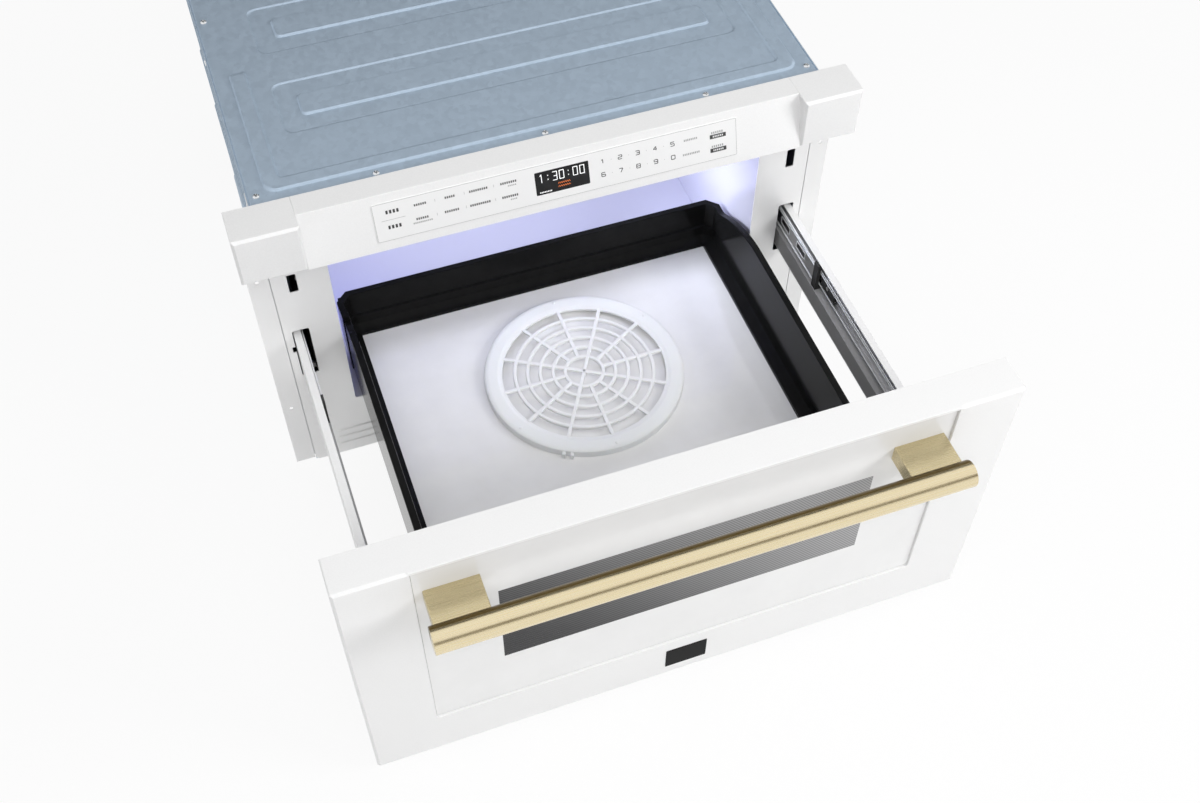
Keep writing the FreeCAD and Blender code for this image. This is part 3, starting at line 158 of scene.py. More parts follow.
def carried(axis, path, section, closed=False):
    """A section of sideways and upward steps carried along a flat path: path plus sideways step times the side
    direction, at a level of the upward step."""
    path = np.asarray(path, float)
    section = np.asarray(section, float)
    side = sideways(path, closed)
    flat = path[:, None, :] + section[None, :, :1] * side[:, None, :]
    levels = np.broadcast_to(section[None, :, 1], flat.shape[:2])
    return skin(on(axis, flat, levels), along=closed)


def softened(path, radius, closed=False, steps=3):
    """A path whose corners are cut back by the radius and rounded by a parabola: the weighted mean of the corner and
    its two cut points."""
    path = np.asarray(path, float)
    before, after = np.roll(path, 1, 0) - path, np.roll(path, -1, 0) - path
    reach = [np.minimum(0.5, radius / np.maximum(np.linalg.norm(run, axis=1), 1e-6))[:, None]
             for run in (before, after)]
    first, last = path + before * reach[0], path + after * reach[1]
    t = np.linspace(0, 1, steps + 1)[None, :, None]
    bend = (1 - t) ** 2 * first[:, None] + 2 * t * (1 - t) * path[:, None] + t ** 2 * last[:, None]
    if closed:
        return bend.reshape(-1, 2)
    return np.concatenate([path[:1], bend[1:-1].reshape(-1, 2), path[-1:]])


def placed(name, data):
    """A new object of some data, linked into the scene."""
    made = bpy.data.objects.new(name, data)
    bpy.context.scene.collection.objects.link(made)
    return made


def piece(name, body, slot, stands_for, *parts):
    """Puts shapes and their materials into one mesh in metres, welds it, turns its faces outwards and makes it ride on
    its body."""
    points, faces = together(*(shape for shape, _ in parts))
    mesh = bpy.data.meshes.new(name)
    mesh.from_pydata((points * MM).tolist(), [], faces)
    finishes = list(dict.fromkeys(material for _, material in parts))
    for material in finishes:
        mesh.materials.append(material)
    kinds = np.concatenate([np.full(len(polygons), finishes.index(material))
                            for (_, polygons), material in parts])
    mesh.polygons.foreach_set("material_index", kinds.astype(np.int32))
    weld = bmesh.new()
    weld.from_mesh(mesh)
    bmesh.ops.remove_doubles(weld, verts=weld.verts, dist=2e-6)
    bmesh.ops.recalc_face_normals(weld, faces=weld.faces)
    weld.to_mesh(mesh)
    weld.free()
    mesh.polygons.foreach_set("use_smooth", np.ones(len(mesh.polygons), bool))
    mesh.set_sharp_from_angle(angle=np.radians(SHARP_EDGE))
    made = placed(name, mesh)
    even = made.modifiers.new("even_faces", "WEIGHTED_NORMAL")
    even.keep_sharp = True
    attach(made, body)
    if stands_for:
        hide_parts(*stands_for)
    return made


# ---------------------------------------------------------------- finishes

BAR_Y, BAR_Z, BAR_RADIUS, BAR_HALF = -799.0, 363.0, 14.95, 297.0
# The distance at which a wave texture of scale 1 repeats.
WAVE_RUN = 0.314


def colour(code):
    """An sRGB hex colour in the linear values that shaders take."""
    parts = np.array([int(code[at:at + 2], 16) for at in (1, 3, 5)]) / 255
    linear = np.where(parts <= 0.04045, parts / 12.92, ((parts + 0.055) / 1.055) ** 2.4)
    return (*linear.tolist(), 1.0)


def add(tree, kind, settings=None, feeds=None):
    """Adds one node: settings are its input values or properties, feeds link another node's output to an input."""
    made = tree.nodes.new("ShaderNode" + kind)
    for key, value in (settings or {}).items():
        if hasattr(made, str(key)):
            setattr(made, key, value)
        else:
            made.inputs[key].default_value = value
    for key, source in (feeds or {}).items():
        tree.links.new(made.inputs[key], source)
    return made


def ramp(tree, source, tints, stops=(0.0, 1.0)):
    """Runs between two tints as a value goes from one stop to the other."""
    made = add(tree, "ValToRGB", {}, {"Fac": source})
    for element, tint, stop in zip(made.color_ramp.elements, tints, stops):
        element.color = colour(tint)
        element.position = stop
    return made.outputs["Color"]


def grain(tree, place, size, **settings):
    """Noise of a grain size in millimetres."""
    return add(tree, "TexNoise", {"Scale": 1 / (size * MM), **settings}, {"Vector": place}).outputs["Fac"]


def lifted(tree, shader, height, bump):
    """Lifts the surface by a value times the bump in millimetres."""
    lift = add(tree, "Bump", {"Strength": 1.0, "Distance": bump * MM}, {"Height": height})
    tree.links.new(shader.inputs["Normal"], lift.outputs["Normal"])


def plain_ray(tree):
    """1 for a ray from the lens, off a mirror or through glass, and 0 for any other."""
    seen = add(tree, "LightPath").outputs
    direct = add(tree, "Math", {"operation": "MAXIMUM"}, {0: seen["Is Camera Ray"], 1: seen["Is Glossy Ray"]})
    either = add(tree, "Math", {"operation": "MAXIMUM"}, {0: direct.outputs[0], 1: seen["Is Transmission Ray"]})
    return either.outputs[0]


def started(name, base, roughness, settings=None):
    """A new material: its Principled shader holds every number that is the same all over."""
    made = bpy.data.materials.new(name)
    made.use_nodes = True
    shader = made.node_tree.nodes["Principled BSDF"]
    shader.inputs["Base Color"].default_value = colour(base)
    shader.inputs["Roughness"].default_value = roughness
    for key, value in (settings or {}).items():
        shader.inputs[key].default_value = value
    return made, made.node_tree, shader


def patterned(tree, shader, size, tints, bump=0.0, stretch=(1, 1, 1), detail=3.0):
    """Noise of a given grain size in millimetres on Object coordinates: it runs the base between two tints and lifts
    the surface by the bump in millimetres."""
    turn = add(tree, "Mapping", {"Scale": stretch}, {"Vector": add(tree, "TexCoord").outputs["Object"]})
    noise = grain(tree, turn.outputs["Vector"], size, Detail=detail)
    tree.links.new(shader.inputs["Base Color"], ramp(tree, noise, tints, (0.3, 0.7)))
    if bump:
        lifted(tree, shader, noise, bump)
    return noise


def grained(name, base, roughness, size, tints, bump=0.0, settings=None, **pattern):
    """A whole material of one shader and one noise pattern."""
    made, tree, shader = started(name, base, roughness, settings)
    patterned(tree, shader, size, tints, bump, **pattern)
    return made


def galvanised_sheet():
    """Hot-dip galvanised sheet, rolled: blue-grey zinc whose crystals, 4 to 8 mm across, differ a little in shade and
    gloss."""
    made, tree, shader = started("galvanised_sheet_rolled", "#b4c6d7", 0.36, {"Metallic": 0.35})
    place = add(tree, "TexCoord").outputs["Object"]
    warp = add(tree, "TexNoise", {"Scale": 1 / (9 * MM)}, {"Vector": place})
    bent = add(tree, "Mix", {"data_type": "VECTOR", "Factor": 0.006}, {4: place, 5: warp.outputs["Color"]})
    spangle = add(tree, "TexVoronoi", {"Scale": 1 / (6 * MM)}, {"Vector": bent.outputs[1]})
    grey = add(tree, "RGBToBW", {}, {"Color": spangle.outputs["Color"]})
    gloss = add(tree, "MapRange", {"To Min": 0.38, "To Max": 0.5}, {"Value": grey.outputs["Val"]})
    tree.links.new(shader.inputs["Base Color"], ramp(tree, grey.outputs["Val"], ("#aebfd0", "#b7c8d9")))
    tree.links.new(shader.inputs["Roughness"], gloss.outputs["Result"])
    lifted(tree, shader, grain(tree, place, 0.9), 0.012)
    return made


def brushed_brass(name, tints):
    """Satin brass, brushed lengthwise: pale gold with hair lines 0.35 mm apart, drawn twice as wide to show, that break
    up its reflections."""
    made, tree, shader = started(name, tints[0], 0.26, {"Metallic": 1.0})
    noise = patterned(tree, shader, 0.7, tints, bump=0.001, stretch=(0.01, 1, 1), detail=2.0)
    gloss = add(tree, "MapRange", {"To Min": 0.22, "To Max": 0.32}, {"Value": noise})
    tree.links.new(shader.inputs["Roughness"], gloss.outputs["Result"])
    return made


def rod_brass():
    """The rod's brass: as the other, and browner on the half towards the door as painted shade, a dark tone that stands
    in for the shadow and dark reflection on that side."""
    made = brushed_brass("satin_brass_rod_brushed", ("#e6d7b2", "#ecdebb"))
    tree, shader = made.node_tree, made.node_tree.nodes["Principled BSDF"]
    fresh = shader.inputs["Base Color"].links[0].from_socket
    axes = add(tree, "SeparateXYZ", {}, {"Vector": add(tree, "TexCoord").outputs["Object"]})
    share = add(tree, "MapRange", {"From Min": (BAR_Y + 0.5) * MM, "From Max": (BAR_Y + 5) * MM},
                {"Value": axes.outputs["Y"]})
    # Painted shade: the half of the rod towards the door runs to dark brown.
    painted_shade_tone = add(tree, "Mix", {"data_type": "RGBA", 7: colour("#66552e")}, {0: share.outputs["Result"], 6: fresh})
    tree.links.new(shader.inputs["Base Color"], painted_shade_tone.outputs[2])
    return made


def hatched_screen():
    """Window film printed with black lines 1.6 mm apart behind clear glass, drawn 2.8 mm apart to show. They run
    aslant, and a painted reflection lightens them towards the right and the top."""
    made, tree, shader = started("window_film_hatched", "#4e4e50", 0.05, {"Specular IOR Level": 0.2})
    place = add(tree, "TexCoord").outputs["Object"]
    turn = add(tree, "Mapping", {"Rotation": (0, np.radians(38), 0)}, {"Vector": place})
    lines = add(tree, "TexWave", {"bands_direction": "X", "Scale": WAVE_RUN / (2.8 * MM)},
                {"Vector": turn.outputs["Vector"]})
    dark = ramp(tree, lines.outputs["Fac"], ("#161617", "#323234"))
    bright = ramp(tree, lines.outputs["Fac"], ("#909091", "#b4b4b5"))
    axes = add(tree, "SeparateXYZ", {}, {"Vector": place})
    # Painted reflection: the lines lighten towards the right and the top.
    slant = add(tree, "Math", {"operation": "MULTIPLY_ADD", 1: 1.1}, {0: axes.outputs["Z"], 2: axes.outputs["X"]})
    across = add(tree, "MapRange", {"From Min": 0.0, "From Max": 0.55, "interpolation_type": "SMOOTHSTEP"},
                 {"Value": slant.outputs[0]})
    painted_reflection_mix = add(tree, "Mix", {"data_type": "RGBA"}, {0: across.outputs["Result"], 6: dark, 7: bright})
    tree.links.new(shader.inputs["Base Color"], painted_reflection_mix.outputs[2])
    return made


def oven_enamel():
    """Vitreous enamel on pressed steel: pale lavender, glossy, with a faint waviness 2.5 mm across and cloudy tone 60
    mm across."""
    made, tree, shader = started("vitreous_enamel_fired", "#ccd3f1", 0.22, {"Coat Weight": 0.3})
    place = add(tree, "TexCoord").outputs["Object"]
    cloud = grain(tree, place, 60, Detail=1.0)
    tree.links.new(shader.inputs["Base Color"], ramp(tree, cloud, ("#c6cdef", "#d4dbf4")))
    lifted(tree, shader, grain(tree, place, 2.5), 0.01)
    return made


# Powder coat, sprayed and baked: warm white with a faint orange peel 1.6 mm across.
POWDER = grained("powder_coat_baked", "#f1f1f1", 0.38, 1.6, ("#efefef", "#f3f3f3"), bump=0.006)
# Back-painted float glass: even white under a sharp reflection.
WHITE_GLASS = grained("float_glass_back_painted", "#eeeeee", 0.04, 60, ("#ececec", "#f0f0f0"), settings={"IOR": 1.52})
WINDOW = hatched_screen()
# The handle posts' brass: the same brushed brass as the rod, with darker tints that are painted shade.
BRASS = brushed_brass("satin_brass_post_painted_shade", ("#cec09a", "#d6c8a2"))
ROD_BRASS = rod_brass()
GALVANISED = galvanised_sheet()
# Black stove enamel, sprayed and fired: deep satin gloss with slight waviness 14 mm across.
BLACK_ENAMEL = grained("black_enamel_fired", "#151515", 0.16, 14, ("#131313", "#171717"), bump=0.002,
                       settings={"Specular IOR Level": 0.07})
# Glass-ceramic, rolled: pale grey plate with a soft mirror.
CERAMIC = grained("glass_ceramic_rolled", "#f2f2f2", 0.06, 35, ("#f0f0f0", "#f4f4f4"), settings={"IOR": 1.75})
# Polypropylene, injection moulded: white, a little waxy.
WHITE_PLASTIC = grained("polypropylene_moulded", "#f5f5f5", 0.42, 0.8, ("#f3f3f3", "#f7f7f7"), bump=0.01,
                        settings={"Subsurface Weight": 0.05})
# Zinc plate on cold-rolled steel: bright blue-white metal with rolling lines along the slide.
ZINC = grained("zinc_plated_steel_rolled", "#dcdee0", 0.3, 0.8, ("#d4d6d8", "#e6e8e9"), bump=0.003,
               settings={"Metallic": 0.2}, stretch=(1, 0.03, 1))
# Screws, headed and bright zinc plated: sharp light and dark on each dome.
SCREW = grained("bright_zinc_screw_headed", "#e4e6e8", 0.16, 0.8, ("#dfe1e3", "#e9ebec"), settings={"Metallic": 0.95})
# Bright zinc on the slide's rolled edges, with a painted highlight: near white and hardly metallic, so that the edges
# show as thin pale lines.
PAINTED_HIGHLIGHT_ZINC = grained("zinc_edge_painted_highlight", "#f0f2f3", 0.25, 0.8, ("#eaecee", "#f6f8f9"), settings={"Metallic": 0.15},
                   stretch=(1, 0.03, 1))
# Acetal, moulded: satin black.
BLACK_PLASTIC = grained("black_acetal_moulded", "#151515", 0.36, 0.9, ("#101010", "#1b1b1b"), bump=0.01)
# Polyester overlay, printed from behind: white with a faint texture.
OVERLAY = grained("polyester_overlay_printed", "#f3f3f3", 0.22, 0.5, ("#f1f1f1", "#f5f5f5"), bump=0.004)
# Smoked acrylic over the display: near black gloss.
SMOKED = grained("smoked_acrylic_cast", "#232323", 0.08, 20, ("#202020", "#272727"))
# Anodised aluminium badge plate, left bare: near black satin.
BADGE = grained("badge_aluminium_anodised", "#0c0c0c", 0.32, 0.6, ("#0a0a0a", "#0f0f0f"), bump=0.004,
                settings={"Specular IOR Level": 0.05})
# Screen inks: matt dark grey and matt pale grey, with slightly uneven cover.
INK = grained("screen_ink_printed", "#3e3e3e", 0.6, 0.4, ("#383838", "#464646"))
PALE_INK = grained("screen_ink_pale_printed", "#a6a6a6", 0.6, 0.4, ("#9f9f9f", "#adadad"))
# Light-emitting segments behind the acrylic: soft white digits and dim orange waves.
LIT_WHITE = grained("segment_lit_white", "#e6e6e6", 0.5, 0.5, ("#dedede", "#eeeeee"),
                    settings={"Emission Color": colour("#f4f4f4"), "Emission Strength": 0.5})
LIT_ORANGE = grained("segment_lit_orange", "#c9672e", 0.5, 0.5, ("#bd5e28", "#d77436"),
                     settings={"Emission Color": colour("#d06a30"), "Emission Strength": 0.25})
# Silicone rubber, extruded: soft grey.
RUBBER = grained("silicone_rubber_extruded", "#8f8f90", 0.6, 1.5, ("#88888a", "#969698"), bump=0.02)
# Acetal, moulded: satin natural grey.
GREY_PLASTIC = grained("grey_acetal_moulded", "#a9abae", 0.4, 0.9, ("#a2a4a7", "#b1b3b6"), bump=0.01)
# Motor steel, drawn and plated: cool grey shine.
MOTOR_STEEL = grained("plated_motor_can_drawn", "#9a9da1", 0.3, 1.0, ("#8f9296", "#a8abae"), bump=0.005,
                      settings={"Metallic": 0.9})
# Lamination stack and lacquered winding: dull brown in fine layers.
CORE_STEEL = grained("laminated_core_stacked", "#6a5a48", 0.5, 0.7, ("#5a4c3d", "#7c6a54"), bump=0.03,
                     stretch=(1, 1, 0.1))
# Circuit board: green solder resist on glass fibre, half matt.
BOARD = grained("solder_resist_board", "#2f6b48", 0.4, 1.0, ("#2a6041", "#357750"), bump=0.01)
ENAMEL = oven_enamel()

SLOT_FINISH = {
    "galvanised_sheet": GALVANISED, "white_enamel": POWDER, "white_glass": WHITE_GLASS, "window_print": WINDOW,
    "satin_brass": BRASS, "black_enamel": BLACK_ENAMEL, "glass_ceramic": CERAMIC, "white_resin": WHITE_PLASTIC,
    "slide_steel": ZINC, "black_resin": BLACK_PLASTIC, "grey_acetal": GREY_PLASTIC, "oven_enamel": ENAMEL,
    "circuit_board": BOARD, "display_black": SMOKED, "motor_steel": MOTOR_STEEL, "transformer_steel": CORE_STEEL,
    "seal_rubber": RUBBER, "zinc_screw": SCREW,
}


def dress_nodes():
    """Every solid of the frame gets the finish of its slot in the record."""
    for entry in frame["record"]["materials"]:
        for name in entry.get("nodes", []):
            for holder in frame["nodes"][name].material_slots:
                holder.material = SLOT_FINISH[entry["slot"]]


dress_nodes()

# ---------------------------------------------------------------- door

DOOR_FRONT, GLASS_FRONT, DOOR_BACK = -748.8, -745.8, -702.7
DOOR_LOW, DOOR_HIGH, DOOR_HALF = 11.6, 412.9, 380.0
GLASS_HALF, GLASS_LOW, GLASS_HIGH, GLASS_CORNERS = 301.0, 89.5, 409.2, (0.6, 0.6, 5, 5)
LIP_END, CHAMFER_END = 301.2, 304.0
WINDOW_AREA = ((-214.6, 214.6), (181.5, 324.6))
BADGE_PLACE = ((-18.3, 34.5), (31, 70), (-749.4, -748.7))
POST_X, POST_Z = (231.5, 291.5), (348, 370)
# The door's back sheet and the core inside it: outline, opening and depth of each.
BACK_SHEET = (((-378, 378), (13.6, 410.9), 1.5), ((-336, 336), (59, 398), 3), (-703.9, DOOR_BACK))
CORE = (((-339.5, 339.5), (56, 400.9), 3), (*WINDOW_AREA, 2), (-741.7, -697.7))


def door_shell():
    """The white shell round the glass: rings between the outer outline and the glass opening, each at its depth. Four
    more points on the top edge end the chamfer at the glass, where a low upright lip takes its place."""
    outer = lambda inset: rounded((-DOOR_HALF, DOOR_HALF), (DOOR_LOW, DOOR_HIGH), 2.0, inset)
    inner = lambda inset: rounded((-GLASS_HALF, GLASS_HALF), (GLASS_LOW, GLASS_HIGH), GLASS_CORNERS, inset)
    rings = [(inner(-3), GLASS_FRONT + 4.2), (outer(1.5), DOOR_BACK), (outer(0), DOOR_BACK - 0.4),
             (outer(0), DOOR_FRONT + 3.4), (outer(0.2), DOOR_FRONT + 2.9),
             (outer(2.9), DOOR_FRONT + 0.2), (outer(3.4), DOOR_FRONT), (inner(-0.3), DOOR_FRONT),
             (inner(0), DOOR_FRONT + 0.3),
             (inner(0), GLASS_FRONT + 4), (inner(-3), GLASS_FRONT + 4)]
    loops = [on("y", loop, level) for loop, level in rings]
    top = np.array([(side * x, loops[0][0, 1], 0)
                    for side, x in ((1, CHAMFER_END), (1, LIP_END), (-1, LIP_END), (-1, CHAMFER_END))])
    corner = 5
    wide = []
    for number, loop in enumerate(loops):
        stops = top.copy()
        stops[:, 1:] = loop[corner - 1, 1:]
        if 3 <= number <= 6:
            stops[1:3, 1:] = (DOOR_FRONT + (1.2, 0.7, 0.2, 0)[number - 3], DOOR_HIGH - (0, 0.05, 0.3, 0.8)[number - 3])
        wide.append(np.concatenate([loop[:corner], stops, loop[corner:]]))
    return skin(np.stack(wide), along=True)


def door_glass():
    """The pane with its printed window: a rounded slab, and thin slabs of film on its front and its back."""
    gap = 0.5
    body = slab("y", (-GLASS_HALF + gap, GLASS_HALF - gap), (GLASS_LOW + gap, GLASS_HIGH - gap),
                (GLASS_FRONT, GLASS_FRONT + 4), GLASS_CORNERS, 0.4)
    films = (slab("y", *WINDOW_AREA, (GLASS_FRONT + near, GLASS_FRONT + far), 0.05, 0.02)
             for near, far in ((-0.06, 1), (3.2, 4.8)))
    return body, together(*films)


pane, window = door_glass()
piece("door_shell", "drawer", "white_enamel", ["door_frame"], (door_shell(), POWDER))
piece("door_pane", "drawer", "white_glass", ["door_glass", "window_screen"], (pane, WHITE_GLASS), (window, WINDOW))
piece("badge_plate_bare", "drawer", "display_black", ["badge_plate"],
      (slab("y", *BADGE_PLACE, 1.2, 0.3), BADGE))
piece("door_back", "drawer", "white_enamel", ["door_inner_panel"],
      (together(framed("y", *BACK_SHEET), framed("y", *CORE, 1.0)), POWDER))


def handle_bar():
    """A rod along x whose ends draw in over a 1.2 mm chamfer."""
    profile = [(BAR_RADIUS - 1.2, -BAR_HALF), (BAR_RADIUS - 0.3, -BAR_HALF + 0.4), (BAR_RADIUS, -BAR_HALF + 1.2),
               (BAR_RADIUS, BAR_HALF - 1.2), (BAR_RADIUS - 0.3, BAR_HALF - 0.4), (BAR_RADIUS - 1.2, BAR_HALF)]
    return turned("x", (BAR_Y, BAR_Z), profile, 96)


right_post = slab("y", POST_X, POST_Z, (BAR_Y, GLASS_FRONT), 1.6, 0.3)
piece("handle_rod", "drawer", "satin_brass", ["handle_bar"], (handle_bar(), ROD_BRASS))
piece("handle_stands", "drawer", "satin_brass", ["handle_posts"], (paired(right_post), BRASS))

# ---------------------------------------------------------------- hood

HOOD_TOP, HOOD_LOW, HOOD_BACK, BLOCK_FRONT = 487.0, 418.8, -280.0, -332.0
BEAM_HALF, HOOD_HALF, FOOT_BACK = 304.0, 380.0, -309.2
BROW, TOE = (-311.2, HOOD_TOP), (-331.5, HOOD_LOW)
SLOPE = float(np.hypot(BROW[0] - TOE[0], BROW[1] - TOE[1]))
DOWN = ((TOE[0] - BROW[0]) / SLOPE, (TOE[1] - BROW[1]) / SLOPE)
OUT = (DOWN[1], -DOWN[0])


def on_fascia(shape):
    """Moves a shape of x, distance down the slope and lift off it on to the fascia: brow plus the slope and the outward
    direction times those two."""
    points, faces = shape
    x, down, lift = points.T
    return np.stack([x, BROW[0] + DOWN[0] * down + OUT[0] * lift, BROW[1] + DOWN[1] * down + OUT[1] * lift], -1), faces


def hood_block():
    """An end block: a box with a 3.4 mm chamfer round its front face, slightly eased on both sides."""
    chamfer = [(3.4, 0), (2.9, 0.15), (0.15, 2.9), (0, 3.4)]
    return slab("y", (BEAM_HALF, HOOD_HALF), (HOOD_LOW, HOOD_TOP), (BLOCK_FRONT, HOOD_BACK), 0.8, 0.5, chamfer)


def hood_beam():
    """The middle of the hood: its section in y and z carried along x, with small radii at the brow and the toe."""
    corners = [(HOOD_BACK, HOOD_TOP), BROW, TOE, (TOE[0] + 2.0, HOOD_LOW), (FOOT_BACK, HOOD_LOW), (HOOD_BACK, HOOD_LOW)]
    section = softened(corners, 0.7, closed=True)
    return skin(on("x", np.stack([section, section]), np.array([[-BEAM_HALF], [BEAM_HALF]])))


block = hood_block()
piece("hood_end_right", "cabinet", "white_enamel", ["hood_end_block_right"], (block, POWDER))
piece("hood_end_left", "cabinet", "white_enamel", ["hood_end_block_left"], (flipped(block), POWDER))
piece("hood_beam", "cabinet", "white_enamel", ["hood_shell", "control_fascia"], (hood_beam(), POWDER))

PANEL_HALF, PANEL_TOP, PANEL_LOW, PANEL_LIFT = 221.7, 10.5, 59.3, 1.0
SUNK, INK_RISE = 0.05, 0.12
DISPLAY = ((-30.6, 35.2), (19.5, 49.0))
# Each digit as strokes on a box one wide and one high. The square is the only stroke that closes on itself.
SQUARE = [(0, 0), (1, 0), (1, 1), (0, 1)]
DIGITS = {
    "0": [SQUARE],
    "1": [[(0.25, 0.8), (0.6, 1), (0.6, 0)]],
    "2": [[(0, 1), (1, 1), (1, 0.5), (0, 0.5), (0, 0), (1, 0)]],
    "3": [[(0, 1), (1, 1), (1, 0), (0, 0)], [(0.25, 0.5), (1, 0.5)]],
    "4": [[(0.75, 0), (0.75, 1), (0, 0.3), (1, 0.3)]],
    "5": [[(1, 1), (0, 1), (0, 0.55), (1, 0.55), (1, 0), (0, 0)]],
    "6": [[(1, 1), (0, 1), (0, 0), (1, 0), (1, 0.52), (0, 0.52)]],
    "7": [[(0, 1), (1, 1), (0.4, 0)]],
    "8": [SQUARE, [(0, 0.5), (1, 0.5)]],
    "9": [[(0, 0), (1, 0), (1, 1), (0, 1), (0, 0.48), (1, 0.48)]],
    ":": [[(0.5, 0.2), (0.5, 0.32)], [(0.5, 0.68), (0.5, 0.8)]],
}


def stroke(path, width, soften, closed=False):
    """A printed line: a low rectangle carried along a path of x and distance down the fascia."""
    low, high = PANEL_LIFT - SUNK, PANEL_LIFT + INK_RISE
    section = [(-width / 2, low), (width / 2, low), (width / 2, high), (-width / 2, high)]
    bent = softened(path, soften, closed) if len(path) > 2 else np.asarray(path, float)
    return on_fascia(carried("z", bent, section, closed))


def digit(sign, x, down, wide, high, width, soften):
    """A digit at a place on the fascia: its strokes scaled to wide and high about that place."""
    return together(*(stroke([(x + (u - 0.5) * wide, down - (v - 0.5) * high) for u, v in path], width, soften,
                             path is SQUARE)
                      for path in DIGITS[sign]))


def bar(x, down, wide, high, lift=INK_RISE):
    """A printed block about a place on the fascia."""
    return on_fascia(slab("z", (x - wide / 2, x + wide / 2), (down - high / 2, down + high / 2),
                          (PANEL_LIFT - SUNK, PANEL_LIFT + lift), 0.25, 0.02))


def dashes(x, down, wide, high, pitch=2.5, share=0.62, lift=INK_RISE):
    """A row of short upright blocks, where the real panel has a word."""
    count = max(2, round(wide / pitch))
    return together(*(bar(x + (step - (count - 1) / 2) * pitch, down, pitch * share, high, lift)
                      for step in range(count)))


def panel_marks():
    """The panel's print in three inks: key marks and digits, the pale lines between keys, and the dark boxes of the two
    keys on the right."""
    dark, pale, light = [], [], []
    for down in (23.0, 42.3):
        dark.append(dashes(-199, down, 17, 4.4, 4.2, 0.6))
    for x, upper, lower in ((-166.5, 16, 15), (-131.7, 12, 18), (-97.8, 23, 24), (-62, 21, 21)):
        dark += [dashes(x, 22.5, upper, 2.8), dashes(x, 40.3, lower, 2.8)]
    pale += [dashes(-166.5, 45, 23, 2, 2.1), dashes(-58, 27, 11, 1.7, 2.1), dashes(-58, 44.8, 9, 1.7, 2.1)]
    pale += [stroke([(-213, 33), (-185, 33)], 0.4, 0)]
    pale += [stroke([(x, down), (x, down + 3.4)], 0.4, 0) for x in (-149, -114.5, -79.5) for down in (20.8, 38.6)]
    for sign, x in zip("12345", (52.3, 74.2, 96.0, 117.9, 139.8)):
        other = str((int(sign) + 5) % 10)
        dark += [digit(sign, x, 25, 4.6, 5, 0.9, 0.9), digit(other, x, 42.2, 4.6, 5, 0.9, 0.9)]
    pale += [bar(x, down, 0.6, 0.9) for x in (63.2, 85.1, 107, 128.8) for down in (25, 42.2)]
    pale += [dashes(162.7, 24.5, 17, 2.6, 2.2), dashes(162.7, 42.9, 21, 2.6, 2.2)]
    for down in (28.3, 46.2):
        pale.append(dashes(196.5, down - 5, 15, 2.8, 2.6))
        dark.append(bar(197.5, down, 20.5, 5.2))
        light.append(dashes(197.5, down, 14, 2.2, 2.3, 0.6, 0.16))
    right, top, low = PANEL_HALF - 0.8, PANEL_TOP + 0.8, PANEL_LOW - 0.8
    outline = [(-right, top), (right, top), (right, low), (-right, low)]
    pale.append(stroke(outline, 0.35, 1.5, True))
    return together(*dark), together(*pale), together(*light)


def display_lights():
    """The display's white clock digits and small blocks, and two rows of orange waves."""
    left, pitch = -23.2, 8.35
    white = [digit(sign, left + step * pitch, 28.3, 5.2, 10.6, 0.95, 0.25) for step, sign in enumerate("1:30:00")]
    white.append(dashes(-19, 46, 15, 1.7, 1.9))
    waves = [stroke([(-3.5 + 1.25 * step, down + (0.9, -0.9)[step % 2]) for step in range(13)], 0.7, 0.1)
             for down in (38.7, 42.9)]
    return together(*white), together(*waves)


dark_marks, pale_marks, light_marks = panel_marks()
white_lights, orange_lights = display_lights()
piece("touch_overlay", "cabinet", "white_glass", ["touch_panel"],
      (on_fascia(slab("z", (-PANEL_HALF, PANEL_HALF), (PANEL_TOP, PANEL_LOW), (-0.5, PANEL_LIFT), 1.5, 0.25)), OVERLAY),
      (on_fascia(slab("z", *DISPLAY, (0.5, PANEL_LIFT + 0.06), 1.2, 0.05)), SMOKED),
      (dark_marks, INK), (pale_marks, PALE_INK), (light_marks, OVERLAY), (white_lights, LIT_WHITE),
      (orange_lights, LIT_ORANGE))

# ---------------------------------------------------------------- cover


def gate(distance, width):
    """A smooth step from 0 to 1 over the width: three squares less two cubes of the share of the way."""
    share = np.clip(distance / width + 0.5, 0, 1)
    return share * share * (3 - 2 * share)


def inside(x, y, box, radius):
    """The depth inside a rounded rectangle: the radius less the distance beyond its inner corner box."""
    reach_x = np.abs(x - (box[0] + box[1]) / 2) - (box[1] - box[0]) / 2 + radius
    reach_y = np.abs(y - (box[2] + box[3]) / 2) - (box[3] - box[2]) / 2 + radius
    beyond = np.hypot(np.maximum(reach_x, 0), np.maximum(reach_y, 0)) + np.minimum(np.maximum(reach_x, reach_y), 0)
    return radius - beyond


COVER_FRONT, COVER_BACK, COVER_HALF, COVER_LOW, COVER_FLAT = -272.0, 280.0, 348.4, 476.2, 478.7
COVER_EDGE, PRESS = 347.6, 2.2
# The raised rib lies between two rounded rectangles and ends at a depth of its own.
RIB_OUTER, RIB_INNER, RIB_END, RIB_RISE = (-327.5, 327.5, -258, 400), (-309, 309, -240, 400), -46, 2.6
# Each panel is a sunk moat round a raised middle: half widths, and distances behind the panel's front.
PANEL_FRONTS = (-169.0, -18.0, 133.0)
MOAT_HALF, MOAT_LONG, MOAT_DEPTH = 285, 90.6, 1.4
MIDDLE_HALF, MIDDLE_NEAR, MIDDLE_FAR, MIDDLE_RISE = 259, 27, 63.6, 2.4


